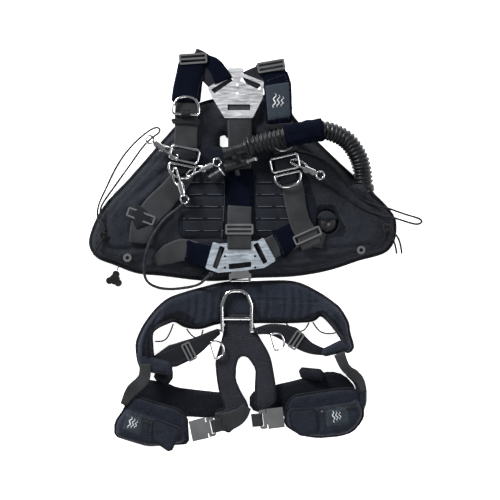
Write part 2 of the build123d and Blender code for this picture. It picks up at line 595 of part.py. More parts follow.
LEFT_BACK = [(-221, -264), (-157, -276), (-139, -285), (-50, -295), (2, -298), (2, -336),
             (-54, -349), (-118, -345), (-246, -345), (-240, -320), (-231, -287)]
LEFT_WALL = [(-238, -300), (-225, -296), (-230, -330), (-247, -352), (-247, -384),
             (-264, -381), (-264, -353), (-244, -325)]
LEFT_FRONT = [(-236, -294), (-180, -313), (-135, -325), (-116, -342), (-113, -396),
              (-139, -398), (-197, -401), (-264, -381), (-264, -353), (-244, -325)]
RIGHT_BACK = [(14, -296), (66, -280), (116, -268), (182, -250), (212, -258), (236, -285),
              (236, -330), (150, -345), (60, -345), (14, -330)]
RIGHT_WALL = [(217, -238), (238, -247), (250, -266), (257, -289), (257, -314), (250, -334),
              (244, -351), (234, -340), (238, -300), (232, -275), (212, -255)]
RIGHT_FRONT = [(90, -317), (103, -299), (135, -293), (203, -283), (232, -283), (240, -300),
               (250, -334), (244, -351), (226, -372), (201, -380), (157, -384), (126, -380),
               (108, -372), (86, -357)]
LEFT_POCKET = [(-240, -322), (-176, -343), (-124, -363), (-118, -392), (-139, -396),
               (-172, -400), (-197, -400), (-261, -381), (-261, -354)]
RIGHT_POCKET = [(92, -324), (145, -320), (220, -309), (238, -302), (247, -334), (241, -350),
                (224, -370), (200, -378), (157, -382), (126, -378), (108, -370), (90, -355)]
LEFT_FLAP = [(-184, -342), (-127, -364), (-148, -411), (-187, -384)]
RIGHT_FLAP = [(94, -325), (150, -322), (154, -366), (122, -379), (100, -362)]


def make_leg_loops():
    for side, back, wall, front in (("left", LEFT_BACK, LEFT_WALL, LEFT_FRONT),
                                    ("right", RIGHT_BACK, RIGHT_WALL, RIGHT_FRONT)):
        loop = slab(back, 0, LOOP_PAD_T, 0) + slab(wall, 0, LOOP_T, 0)
        loop += slab(front, LOOP_T - LOOP_PAD_T, LOOP_T, 0)
        save(f"leg_loop_{side}", loop)


def make_pockets():
    """Flat thigh pockets, open towards the waist, and the flap hinged along each mouth."""
    top = LOOP_T + POCKET_T
    mouths = {"left": [(-236, -310), (-224, -352), (-136, -384), (-118, -350)],
              "right": [(102, -310), (104, -358), (222, -346), (228, -290)]}
    pockets = []
    for side, shape in (("left", LEFT_POCKET), ("right", RIGHT_POCKET)):
        body = slab(shape, LOOP_T, top, 3.0)
        body -= slab(mouths[side], LOOP_T + POCKET_WALL, top - POCKET_WALL, 0)
        pockets.append(body)
    save("pockets", *pockets)
    for side, shape in (("left", LEFT_FLAP), ("right", RIGHT_FLAP)):
        save(f"pocket_flap_{side}", slab(shape, top + GAP, top + GAP + 3, 4.0))


def make_leg_buckles():
    """Two-piece steel buckles: the frame stays on the pad and the tongue pulls out."""
    frame = Pos(17, 0, 0) * Box(34, 42, 12) - Pos(22, 0, 0) * Box(26, 27, 4)
    tongue = Pos(24, 0, 0) * Box(25, 24, 3) + Pos(43, 0, 0) * Box(15, 40, 3)
    tongue = fillet(tongue.edges().filter_by(Axis.Z).sort_by(Axis.X)[-2:], 5)
    tongue -= Pos(45, 0, 0) * Box(5, 28, 4)
    places = {"left": turned(-108, -372, 12, BUCKLE_Z), "right": turned(84, -342, 187, BUCKLE_Z)}
    save("leg_buckles", *[place * frame for place in places.values()])
    for side, place in places.items():
        save(f"leg_tongue_{side}", place * tongue)


def make_risers():
    """Straps from the ends of the hip belt to the leg loops."""
    left = [(-213, -230), (-190, -236), (-196, -262), (-222, -290), (-235, -314),
            (-252, -320), (-245, -292), (-218, -262)]
    right = [(186, -212), (210, -206), (222, -236), (250, -262), (256, -290), (246, -294),
             (236, -264), (205, -242)]
    level = LOOP_T + GAP
    save("riser_straps", slab(left, level, level + WEBBING_T, 0),
         slab(right, level, level + WEBBING_T, 0))


ELASTIC_D = 3.0
ELASTIC_LOOPS = [
    [(-118, -162, 3), (-112, -172, 3), (-99, -182, 3), (-86, -178, 3), (-84, -164, 3)],
    [(-146, -152, 3), (-154, -176, 3), (-168, -190, 3), (-184, -188, 3)],
    [(90, -150, 3), (100, -163, 3), (117, -169, 3), (132, -163, 3), (138, -149, 3)],
    [(146, -148, 3), (156, -165, 3), (171, -172, 3), (187, -172, 3), (194, -170, 3)],
]


def make_elastic_loops():
    loops = [wire_path(points, ELASTIC_D / 2) for points in ELASTIC_LOOPS]
    save("belt_loops", *loops)


make_wing()
make_back_panel()
make_plates()
make_spine()
make_shoulder_straps()
make_chest_ring()
make_side_straps()
make_adjusters()
make_snaps()
make_hose()
make_inflator()
make_cords()
make_link()
make_belt()
make_front_straps()
make_rings()
make_crotch_strap()
make_leg_loops()
make_pockets()
make_leg_buckles()
make_risers()
make_elastic_loops()
for cord_name, bends in cord_bends.items():
    print(cord_name, "bend radii", bends)
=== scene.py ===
"""Looks of a sidemount buoyancy vest and its hip harness, laid flat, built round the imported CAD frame.

Lengths are millimetres and MM turns them into metres, except the lamps' sizes and the clip distance.
"""
import json
import math

import bmesh
import bpy
import numpy as np
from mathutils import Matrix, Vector, geometry, noise

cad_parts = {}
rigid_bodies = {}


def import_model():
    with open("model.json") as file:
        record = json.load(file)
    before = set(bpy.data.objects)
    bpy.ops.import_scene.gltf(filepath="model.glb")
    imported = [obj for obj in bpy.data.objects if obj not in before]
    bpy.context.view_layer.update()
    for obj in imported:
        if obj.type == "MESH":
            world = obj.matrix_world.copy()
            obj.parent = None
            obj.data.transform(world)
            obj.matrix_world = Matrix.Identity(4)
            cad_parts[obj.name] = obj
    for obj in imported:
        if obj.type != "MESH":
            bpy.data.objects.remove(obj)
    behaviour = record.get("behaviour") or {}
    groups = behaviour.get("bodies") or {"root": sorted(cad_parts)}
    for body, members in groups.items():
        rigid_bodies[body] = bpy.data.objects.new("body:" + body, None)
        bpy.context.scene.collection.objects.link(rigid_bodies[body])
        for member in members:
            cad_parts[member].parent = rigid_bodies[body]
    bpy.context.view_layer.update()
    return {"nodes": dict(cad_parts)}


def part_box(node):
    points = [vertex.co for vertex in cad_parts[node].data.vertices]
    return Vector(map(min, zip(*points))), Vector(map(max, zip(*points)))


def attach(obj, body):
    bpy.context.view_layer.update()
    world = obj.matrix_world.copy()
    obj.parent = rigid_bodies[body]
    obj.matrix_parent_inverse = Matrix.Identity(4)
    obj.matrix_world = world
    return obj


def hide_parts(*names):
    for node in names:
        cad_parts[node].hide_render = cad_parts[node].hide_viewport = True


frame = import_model()
MM = 0.001


def level(node, high=True):
    """Highest or lowest z of a CAD node, in millimetres."""
    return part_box(node)[1 if high else 0].z / MM


# ---- camera ----------------------------------------------------------------------------------
VIEW_X, VIEW_Y, VIEW_Z, VIEW_WIDTH = 14.5, 3.0, 35.0, 1035.0
LENS, SENSOR = 100.0, 36.0


def make_camera():
    """Looks straight down, so far away that the view is as wide as stated at its height."""
    data = bpy.data.cameras.new("camera")
    data.lens = LENS
    data.sensor_width = SENSOR
    data.clip_end = 20
    camera = bpy.data.objects.new("camera", data)
    bpy.context.scene.collection.objects.link(camera)
    distance = VIEW_WIDTH * LENS / SENSOR
    camera.location = Vector((VIEW_X, VIEW_Y, VIEW_Z + distance)) * MM
    bpy.context.scene.camera = camera


make_camera()


# ---- materials -------------------------------------------------------------------------------
class Finish:
    """Principled material in the making, with its uniform values on the shader's own sockets."""

    def __init__(self, name, rough, metal=0.0, sheen=0.0, coat=0.0, specular=0.5):
        self.material = bpy.data.materials.new(name)
        self.material.use_nodes = True
        self.nodes = self.material.node_tree.nodes
        self.links = self.material.node_tree.links
        self.shader = self.nodes["Principled BSDF"]
        uniform = {"Roughness": rough, "Metallic": metal, "Sheen Weight": sheen,
                   "Sheen Roughness": 0.5, "Coat Weight": coat, "Specular IOR Level": specular}
        for socket, value in uniform.items():
            self.shader.inputs[socket].default_value = value
        self.coords = self.nodes.new("ShaderNodeTexCoord").outputs

    def link(self, source, socket):
        self.links.new(source, self.shader.inputs[socket])

    def texture(self, kind, where, values):
        """Texture node fed by a coordinate socket."""
        node = self.nodes.new(kind)
        for key, value in values.items():
            if key in node.inputs:
                node.inputs[key].default_value = value
            else:
                setattr(node, key, value)
        self.links.new(where, node.inputs["Vector"])
        return node

    def noise(self, where, **values):
        return self.texture("ShaderNodeTexNoise", where, values).outputs["Fac"]

    def wave(self, where, across, **values):
        values["bands_direction"] = across
        return self.texture("ShaderNodeTexWave", where, values).outputs["Color"]

    def mixed(self, factor, first, second):
        """Colour mix of two colours or sockets by a factor socket or number."""
        node = self.nodes.new("ShaderNodeMix")
        node.data_type = "RGBA"
        for socket, value in ((0, factor), (6, first), (7, second)):
            if isinstance(value, bpy.types.NodeSocket):
                self.links.new(value, node.inputs[socket])
            elif socket == 0:
                node.inputs[0].default_value = value
            else:
                node.inputs[socket].default_value = (*value, 1)
        return node.outputs[2]

    def ramp(self, source, low, high, to_low=0.0, to_high=1.0):
        """Clamped map of a value from one range to another."""
        node = self.nodes.new("ShaderNodeMapRange")
        self.links.new(source, node.inputs["Value"])
        values = {"From Min": low, "From Max": high, "To Min": to_low, "To Max": to_high}
        for key, value in values.items():
            node.inputs[key].default_value = value
        return node.outputs["Result"]

    def bump(self, height, strength, depth, before=None):
        """Relief of a height, laid over an earlier relief if there is one."""
        node = self.nodes.new("ShaderNodeBump")
        node.inputs["Strength"].default_value = strength
        node.inputs["Distance"].default_value = depth * MM
        self.links.new(height, node.inputs["Height"])
        if before is not None:
            self.links.new(before, node.inputs["Normal"])
        return node.outputs["Normal"]


def pitch(mm):
    """Scale of a wave texture whose bands are this far apart."""
    return 2 * math.pi / (20 * mm * MM)


def toned(colour, times, more=0.0):
    """The colour made darker or paler."""
    return tuple(c * times + more for c in colour)


def fabric(name, colour, weave=1.3, rough=0.85, sheen=0.01, vary=0.4, crease=1.0, worn=1.6):
    """Plain-woven cloth: crossed threads, uneven dye, fine creases and paler worn places."""
    look = Finish(name, rough, sheen=sheen, specular=0.12)
    where = look.coords["Object"]
    warp, weft = (look.wave(where, across, Scale=pitch(weave), Distortion=0.6, Detail=1)
                  for across in "XY")
    threads = look.mixed(0.5, warp, weft)
    cloud = look.noise(where, Scale=14.0, Detail=8.0, Roughness=0.62)
    grain = look.noise(where, Scale=380.0, Detail=3.0)
    pale = toned(colour, worn, 0.006)
    tone = look.mixed(look.ramp(cloud, 0.35, 0.68), toned(colour, 1 - vary),
                      toned(colour, 1 + vary))
    tone = look.mixed(look.ramp(grain, 0.5, 0.72, 0.0, 0.8), tone, pale)
    tone = look.mixed(look.ramp(threads, 0.2, 0.8, 0.0, 0.35), tone, pale)
    look.link(tone, "Base Color")
    folds = look.noise(where, Scale=45.0, Detail=7.0, Roughness=0.55, Distortion=0.8)
    normal = look.bump(folds, min(1.0, 0.5 * crease), 4.5)
    look.link(look.bump(threads, 0.5, 0.25, normal), "Normal")
    look.link(look.ramp(cloud, 0.3, 0.7, rough - 0.1, rough + 0.08), "Roughness")
    return look.material


def webbing(name, colour, rough=0.62, sheen=0.01):
    """Woven strap read from its own UV: ribs along it, picks across it, and painted highlight along both
    edges.
    """
    look = Finish(name, rough, sheen=sheen, specular=0.16)
    along = look.coords["UV"]
    ribs = look.wave(along, "X", Scale=9.0)
    picks = look.wave(along, "Y", Scale=pitch(1.7), Distortion=0.8)
    cloud = look.noise(look.coords["Object"], Scale=22.0, Detail=6.0)
    weave = look.mixed(0.5, ribs, picks)
    high = toned(colour, 1.9, 0.006)
    tone = look.mixed(look.ramp(cloud, 0.35, 0.66), toned(colour, 0.66), toned(colour, 1.45))
    tone = look.mixed(look.ramp(weave, 0.3, 0.85, 0.0, 0.45), tone, high)
    split = look.nodes.new("ShaderNodeSeparateXYZ")
    look.links.new(along, split.inputs[0])
    middle = look.nodes.new("ShaderNodeMath")
    middle.operation = "PINGPONG"
    middle.inputs[1].default_value = 0.5
    look.links.new(split.outputs["X"], middle.inputs[0])
    # edge: both rims of the strap mixed towards the pale tone, a painted highlight where the edges catch
    # light
    edge = look.ramp(middle.outputs[0], 0.0, 0.07, 0.75, 0.0)
    look.link(look.mixed(edge, tone, high), "Base Color")
    normal = look.bump(cloud, 0.3, 1.6, look.bump(weave, 0.7, 0.35))
    look.link(normal, "Normal")
    return look.material


def pile(name, colour, rough=0.95):
    """Loop pile of hook-and-loop: a soft matted nap."""
    look = Finish(name, rough, sheen=0.004, specular=0.02)
    where = look.coords["Object"]
    nap = look.noise(where, Scale=520.0, Detail=4.0, Roughness=0.7)
    matted = look.noise(where, Scale=30.0, Detail=6.0)
    tone = look.mixed(look.ramp(nap, 0.4, 0.75), colour, toned(colour, 2.1, 0.001))
    tone = look.mixed(look.ramp(matted, 0.35, 0.7, 0.6, 0.0), tone, toned(colour, 0.55))
    look.link(tone, "Base Color")
    look.link(look.bump(nap, 0.8, 0.6, look.bump(matted, 0.3, 2.0)), "Normal")
    return look.material


def metal(name, colour, rough=0.22, brushed=0.25, stretch=(1, 1, 1)):
    """Worn metal: smears in its polish, hairline scratches and dulled patches."""
    look = Finish(name, rough, metal=1.0)
    where = look.coords["Object"]
    turn = look.nodes.new("ShaderNodeMapping")
    turn.inputs["Scale"].default_value = stretch
    look.links.new(where, turn.inputs["Vector"])
    lines = look.noise(turn.outputs["Vector"], Scale=260.0, Detail=6.0, Roughness=0.7)
    cloud = look.noise(where, Scale=30.0, Detail=5.0)
    look.link(look.mixed(look.ramp(cloud, 0.35, 0.7), toned(colour, 0.8), colour), "Base Color")
    look.link(look.ramp(lines, 0.3, 0.7, rough * 0.75, rough + brushed * 0.6), "Roughness")
    look.link(look.bump(lines, brushed, 0.12), "Normal")
    return look.material


def moulded(name, colour, rough=0.4, coat=0.0, grain=0.4):
    """Moulded plastic or rubber: a fine grain, handling marks and paler rubbed places."""
    look = Finish(name, rough, coat=coat, specular=0.3)
    where = look.coords["Object"]
    fine = look.noise(where, Scale=900.0, Detail=2.0)
    cloud = look.noise(where, Scale=55.0, Detail=6.0)
    pale = toned(colour, 1.8, 0.008)
    look.link(look.mixed(look.ramp(cloud, 0.42, 0.75, 0.0, 0.7), colour, pale), "Base Color")
    look.link(look.ramp(cloud, 0.3, 0.7, rough - 0.08, rough + 0.14), "Roughness")
    look.link(look.bump(fine, grain, 0.12), "Normal")
    return look.material


MATS = {
    "wing_nylon": fabric("wing_nylon_cloth", (0.0125, 0.0145, 0.020), crease=1.8),
    "panel_cloth": fabric("panel_cloth", (0.0042, 0.0056, 0.010), weave=2.0, vary=0.5),
    "pad_fabric": fabric("pad_cloth", (0.0125, 0.0155, 0.024), weave=1.6, crease=1.5),
    "crotch_fabric": fabric("crotch_cloth", (0.017, 0.017, 0.024), weave=1.4),
    # dark lining cloth of the belt and leg loops, also laid as painted shade in the wing's valve recess
    "dark_lining": fabric("dark_lining", (0.004, 0.005, 0.009), weave=1.2, sheen=0.02),
    "patch_grey": fabric("patch_cloth", (0.024, 0.032, 0.042), weave=0.9, vary=0.15, crease=0.3),
    "emblem": fabric("emblem_thread", (0.62, 0.64, 0.66), weave=0.8, vary=0.1, worn=1.0,
                     crease=0.3),
    "binding": fabric("binding_tape", (0.007, 0.008, 0.011), weave=0.9, rough=0.7),
    "webbing_grey": webbing("webbing_grey_weave", (0.021, 0.0225, 0.025)),
    "webbing_black": webbing("webbing_black_weave", (0.006, 0.0068, 0.010)),
    "row_webbing": webbing("row_webbing_weave", (0.0052, 0.0066, 0.0115)),
    "velcro_navy": pile("velcro_nap", (0.0025, 0.0036, 0.0085)),
    # pale grey of the rows' rims: painted highlight
    "rim_painted_highlight": fabric("rim_painted_highlight", (0.085, 0.09, 0.105), weave=0.5, crease=0.2),
    "stitch": fabric("stitch_thread", (0.05, 0.053, 0.062), weave=0.5, crease=0.2),
    "steel": metal("polished_steel", (0.80, 0.81, 0.83), rough=0.14, brushed=0.1),
    "plate_bright": metal("satin_aluminium", (0.78, 0.79, 0.82), rough=0.42, brushed=0.5,
                          stretch=(0.15, 1, 1)),
    "plate_blue": metal("bluish_aluminium", (0.68, 0.76, 0.85), rough=0.4, brushed=0.5,
                        stretch=(0.15, 1, 1)),
    "hose_rubber": moulded("ribbed_rubber", (0.005, 0.006, 0.008), rough=0.36),
    "black_plastic": moulded("satin_plastic", (0.007, 0.008, 0.010), rough=0.38),
    "knob_plastic": moulded("gloss_plastic", (0.010, 0.010, 0.012), rough=0.2, coat=0.5),
    "valve_plastic": moulded("valve_moulding", (0.006, 0.006, 0.008), rough=0.45),
    "bungee_black": webbing("braided_sheath", (0.010, 0.010, 0.013), rough=0.7),
    "cord_grey": webbing("braided_cord", (0.020, 0.022, 0.026), rough=0.5),
}


# ---- shared geometry -------------------------------------------------------------------------
def mesh(name, points, faces, material, smooth=True, uvs=None):
    """New object from points in millimetres."""
    data = bpy.data.meshes.new(name)
    data.from_pydata([tuple(c * MM for c in p) for p in points], [], faces)
    data.validate()
    data.update()
    if uvs is not None:
        layer = data.uv_layers.new(name="UVMap")
        for loop in data.loops:
            layer.data[loop.index].uv = uvs[loop.vertex_index]
    data.polygons.foreach_set("use_smooth", [smooth] * len(data.polygons))
    obj = bpy.data.objects.new(name, data)
    bpy.context.scene.collection.objects.link(obj)
    data.materials.append(MATS[material])
    return obj


def place(obj, body, slot, *nodes, fill=None):
    """Attaches a finished piece to the body it rides on and hides the CAD nodes it stands for. What
    finish it has (slot) is not used.
    """
    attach(obj, body)
    if nodes:
        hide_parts(*nodes)
    return obj


def spline(points, step=4.0, closed=False):
    """Even points along a smooth curve through the given ones."""
    pts = [np.array(p, float) for p in points]
    if closed:
        pts = [pts[-1], *pts, pts[0], pts[1]]
    else:
        pts = [2 * pts[0] - pts[1], *pts, 2 * pts[-1] - pts[-2]]
    out = []
    for a, b, c, d in zip(pts, pts[1:], pts[2:], pts[3:]):
        count = max(2, int(np.linalg.norm(c - b) / step))
        for i in range(count):
            t = i / count
            out.append(0.5 * (2 * b + (c - a) * t + (2 * a - 5 * b + 4 * c - d) * t ** 2
                              + (3 * b - a - 3 * c + d) * t ** 3))
    if not closed:
        out.append(pts[-2])
    return np.array(out)


def straight(points, step=4.0, closed=True, soft=3.0):
    """Even points along straight edges whose corners are cut back a little."""
    pts = [np.array(p, float) for p in points]
    pairs = list(zip(pts, pts[1:] + pts[:1])) if closed else list(zip(pts, pts[1:]))
    out = []
    for a, b in pairs:
        length = np.linalg.norm(b - a)
        cut = min(soft, 0.3 * length) / max(length, 1e-6)
        count = max(1, int(length / step))
        out += [a + (b - a) * (cut + (1 - 2 * cut) * i / count) for i in range(count + 1)]
    return np.array(out)


def inside(p, loop):
    """True for each point of p that lies within a closed loop."""
    found = np.zeros(len(p), bool)
    for a, b in zip(loop, np.roll(loop, -1, axis=0)):
        crosses = (a[1] > p[:, 1]) != (b[1] > p[:, 1])
        x = a[0] + (p[:, 1] - a[1]) * (b[0] - a[0]) / (b[1] - a[1] + 1e-12)
        found ^= crosses & (p[:, 0] < x)
    return found


def distance(p, line, closed=True):
    """Distance in plan from each point of p to a run of points."""
    best = np.full(len(p), 1e9)
    ends = np.roll(line, -1, axis=0) if closed else line[1:]
    for a, b in zip(line[:, :2], ends[:, :2]):
        ab = b - a
        t = np.clip(((p[:, :2] - a) @ ab) / (ab @ ab + 1e-12), 0, 1)
        gap = p[:, :2] - a - t[:, None] * ab
        best = np.minimum(best, (gap ** 2).sum(1))
    return np.sqrt(best)


def plan(loop, holes=(), step=5.0, extra=()):
    """Triangles that fill a loop: its own points, a staggered grid and any extra points."""
    low, high = loop.min(0), loop.max(0)
    rows = np.arange(low[1], high[1], step * 0.87)
    grid = [(x + (i % 2) * step / 2, y) for i, y in enumerate(rows)
            for x in np.arange(low[0], high[0], step)]
    grid = np.array(grid)
    keep = inside(grid, loop) & (distance(grid, loop) > step * 0.6)
    for hole in holes:
        keep &= ~inside(grid, hole) & (distance(grid, hole) > step * 0.6)
    for line in extra:
        keep &= distance(grid, line) > step * 0.5
    runs = [loop, *holes]
    points = np.concatenate([*runs, *extra, grid[keep]])
    edges, start = [], 0
    for run in runs:
        count = len(run)
        edges += [(start + i, start + (i + 1) % count) for i in range(count)]
        start += count
    result = geometry.delaunay_2d_cdt([Vector(p) for p in points], edges, [], 0, 1e-4)
    flat = np.array([tuple(v) for v in result[0]])
    tris = [f for f in result[2] if len(f) == 3]
    centre = np.array([flat[list(f)].mean(0) for f in tris])
    keep = inside(centre, loop)
    for hole in holes:
        keep &= ~inside(centre, hole)
    return flat, [f for f, k in zip(tris, keep) if k]


RAY_TOP = 200.0


def ripple(x, y, size, seed=0.0):
    """Smooth uneven waves between -1 and 1, for cloth that doesn't lie flat."""
    return noise.fractal(Vector((x / size + seed, y / size - seed, seed)), 0.8, 2.2, 4)


def pad(name, loop, low, high, material, holes=(), step=5.0, edge=10.0, rim=0.35, swell=2.0,
        wave=0.6, size=45.0, creases=(), seed=0.0, shape=None, extra=(), floor=True):
    """Stuffed or folded cloth that fills a plan: rounded rims, waves and sewn creases.

    Each crease is (points, depth, width); a negative depth raises a fold instead.
    """
    flat, tris = plan(loop, holes, step, extra)
    rims = [loop, *holes]
    gap = np.min([distance(flat, r) for r in rims], axis=0)
    rise = np.sqrt(np.clip(gap / edge, 0, 1) * (2 - np.clip(gap / edge, 0, 1)))
    thick = high - low
    top = low + thick * (rim + (1 - rim) * rise)
    top += np.array([wave * ripple(x, y, size, seed) for x, y in flat]) * rise
    for points, depth, width in creases:
        away = distance(flat, spline(points, 6.0), closed=False)
        fall = depth * np.exp(-(away / width) ** 2)
        fall -= 0.35 * depth * np.exp(-((away - 2.2 * width) / width) ** 2)
        top -= fall * rise
    if shape is not None:
        top = shape(flat, top)
    bottom = low + thick * 0.25 * (1 - rise) if floor else low + thick * rim * 0.5 * (1 - rise)
    count = len(flat)
    points = [(x, y, z) for (x, y), z in zip(flat, top)]
    points += [(x, y, z) for (x, y), z in zip(flat, bottom)]
    faces = [tuple(f) for f in tris]
    faces = [f if signed(flat, f) > 0 else f[::-1] for f in faces]
    border = {}
    for f in faces:
        for a, b in zip(f, f[1:] + f[:1]):
            border[(a, b)] = True
    rim_edges = [e for e in border if (e[1], e[0]) not in border]
    normals = rim_normals(flat, rim_edges)
    middle = {}
    for v, out in normals.items():
        middle[v] = len(points)
        x, y = flat[v] + out * swell
        points.append((x, y, (top[v] + bottom[v]) / 2))
    faces += [tuple(count + i for i in f[::-1]) for f in list(faces)]
    for a, b in rim_edges:
        faces.append((b, a, middle[a], middle[b]))
        faces.append((middle[b], middle[a], count + a, count + b))
    return mesh(name, points, faces, material)


def signed(flat, f):
    a, b, c = (flat[i] for i in f)
    return (b[0] - a[0]) * (c[1] - a[1]) - (b[1] - a[1]) * (c[0] - a[0])


def rim_normals(flat, rim_edges):
    """Outward direction at each point of a counter-clockwise rim."""
    out = {}
    for a, b in rim_edges:
        way = flat[b] - flat[a]
        side = np.array([way[1], -way[0]]) / (np.linalg.norm(way) + 1e-9)
        for v in (a, b):
            out[v] = out.get(v, 0) + side
    return {v: side / (np.linalg.norm(side) + 1e-9) for v, side in out.items()}


def finished(obj, levels=1):
    """The object with its modifiers applied and one subdivision."""
    if levels:
        smooth = obj.modifiers.new("smooth", "SUBSURF")
        smooth.levels = smooth.render_levels = levels
    bpy.context.view_layer.update()
    graph = bpy.context.evaluated_depsgraph_get()
    data = bpy.data.meshes.new_from_object(obj.evaluated_get(graph))
    obj.modifiers.clear()
    obj.data = data
    return obj


PRESSURE, FRAMES = 4.0, 20
ABOVE_FLOOR = 0.5


def inflate(pads):
    """Cloth simulation of several pads at once, each with a cap on how far a point may move."""
    starts = []
    for obj, _ in pads:
        cloth = obj.modifiers.new("cloth", "CLOTH")
        cloth.settings.quality = 4
        cloth.settings.mass = 0.4
        cloth.settings.use_pressure = True
        cloth.settings.uniform_pressure_force = PRESSURE
        cloth.settings.effector_weights.gravity = 0
        cloth.point_cache.frame_start = 1
        cloth.point_cache.frame_end = FRAMES
        co = np.zeros(len(obj.data.vertices) * 3)
        obj.data.vertices.foreach_get("co", co)
        starts.append(co.reshape(-1, 3))
    for number in range(1, FRAMES + 1):
        bpy.context.scene.frame_set(number)
    for (obj, cap), start in zip(pads, starts):
        finished(obj, 0)
        co = np.zeros(len(obj.data.vertices) * 3)
        obj.data.vertices.foreach_get("co", co)
        move = co.reshape(-1, 3) - start
        far = np.linalg.norm(move, axis=1, keepdims=True)
        move *= np.minimum(1, cap * MM / np.maximum(far, 1e-9))
        new = start + move
        new[:, 2] = np.maximum(new[:, 2], np.minimum(start[:, 2], ABOVE_FLOOR * MM))
        obj.data.vertices.foreach_set("co", new.ravel())
        obj.data.update()
        finished(obj)
    bpy.context.scene.frame_set(1)


def section_tube(name, path, profile, material, up=(0, 0, 1), closed=False, caps=True):
    """Skin of a profile carried along a path. profile(i, n) gives (side, lift) points."""
    path = np.array(path, float)
    count = len(path)
    if closed:
        way = np.roll(path, -1, 0) - np.roll(path, 1, 0)
    else:
        way = np.gradient(path, axis=0)
    way /= np.linalg.norm(way, axis=1, keepdims=True) + 1e-12
    run = np.concatenate([[0], np.cumsum(np.linalg.norm(np.diff(path, axis=0), axis=1))])
    points, uvs = [], []
    for i in range(count):
        side = np.cross(way[i], up)
        side /= np.linalg.norm(side) + 1e-12
        lift = np.cross(side, way[i])
        ring = profile(i, count)
        for j, (s, l) in enumerate(ring):
            points.append(path[i] + side * s + lift * l)
            width = max(abs(p[0]) for p in ring) or 1
            uvs.append(((s / width + 1) / 2, run[i] * MM))
    size = len(profile(0, count))
    faces = []
    for i in range(count if closed else count - 1):
        k = (i + 1) % count
        for j in range(size):
            m = (j + 1) % size
            faces.append((i * size + j, i * size + m, k * size + m, k * size + j))
    if caps and not closed:
        faces.append(tuple(range(size))[::-1])
        faces.append(tuple((count - 1) * size + j for j in range(size)))
    obj = mesh(name, points, faces, material, uvs=uvs)
    fix = bmesh.new()
    fix.from_mesh(obj.data)
    bmesh.ops.recalc_face_normals(fix, faces=fix.faces)
    fix.to_mesh(obj.data)
    fix.free()
    return obj


def steady(ring):
    """Profile that stays the same all along a path."""
    return lambda i, n: ring


def turned(count):
    """Even angles round a circle."""
    return np.linspace(0, 2 * math.pi, count + 1)[:-1]


def flat_profile(width, thick, bow=0.0):
    """Rounded strip: its flat side up, its middle raised by bow."""
    half, t = width / 2, thick / 2
    across = [-1, -0.97, -0.8, -0.4, 0, 0.4, 0.8, 0.97, 1]
    thin_edge = 0.35
    top, low = [], []
    for a in across:
        rise = t * (thin_edge if abs(a) == 1 else 1)
        top.append((half * a, rise + bow * (1 - a * a)))
        low.append((half * a, -rise + bow * (1 - a * a)))
    return top + low[::-1]


def strap(name, route, widths, material, thick=2.4, bow=0.0, wave=0.4, step=5.0, seed=0.0):
    """Webbing along a route of points, as wide as widths says from its start to its end."""
    path = spline(route, step)
    path[:, 2] += [wave * ripple(x, y, 30, seed) for x, y in path[:, :2]]
    widths = [widths, widths] if isinstance(widths, (int, float)) else widths

    def profile(i, n):
        return flat_profile(np.interp(i / (n - 1), np.linspace(0, 1, len(widths)), widths),
                            thick, bow)
    return section_tube(name, path, profile, material)


def circle_profile(radius, sides=12):
    turns = [2 * math.pi * k / sides for k in range(sides)]
    return steady([(math.cos(t) * radius, math.sin(t) * radius) for t in turns])


def tube(name, route, radius, material, closed=False, step=3.0, sides=12):
    return section_tube(name, spline(route, step, closed), circle_profile(radius, sides),
                        material, closed=closed)


def tape(name, loop, heights, material, width=5.0, thick=2.4, closed=True):
    """Binding folded over a sewn rim."""
    path = np.column_stack([loop, np.full(len(loop), heights) if np.isscalar(heights)
                            else heights])
    half, t = width / 2, thick / 2
    ring = [(-half, 0), (-half * 0.7, t), (half * 0.7, t), (half, 0), (half * 0.7, -t),
            (-half * 0.7, -t)]
    return section_tube(name, path, steady(ring), material, closed=closed)


def lay(name, base, route, widths, *nodes, body="vest", material="webbing_grey", slot=None,
        **form):
    """Webbing whose route is lifted by a base height, placed on its body."""
    path = [(x, y, base + z) for x, y, z in route]
    return place(strap(name, path, widths, material, **form), body, slot or material, *nodes)


def stuffed(name, outline, low, high, material, *nodes, body="harness", slot="pad_fabric",
            fill=0.5, cell=4.0, soft=3.0, **form):
    """Pad over an outline of straight edges, placed on its body."""
    loop = straight(outline, cell, soft=soft)
    return place(pad(name, loop, low, high, material, **form), body, slot, *nodes, fill=fill)


def joined(name, pieces):
    """One object out of several."""
    bpy.context.view_layer.update()
    pile_up = bmesh.new()
    materials = []
    for piece in pieces:
        start = len(pile_up.faces)
        pile_up.from_mesh(piece.data)
        pile_up.faces.ensure_lookup_table()
        material = piece.data.materials[0]
        if material not in materials:
            materials.append(material)
        for face in pile_up.faces[start:]:
            face.material_index = materials.index(material)
    data = bpy.data.meshes.new(name)
    pile_up.to_mesh(data)
    pile_up.free()
    for material in materials:
        data.materials.append(material)
    for piece in pieces:
        bpy.data.objects.remove(piece)
    obj = bpy.data.objects.new(name, data)
    bpy.context.scene.collection.objects.link(obj)
    return obj


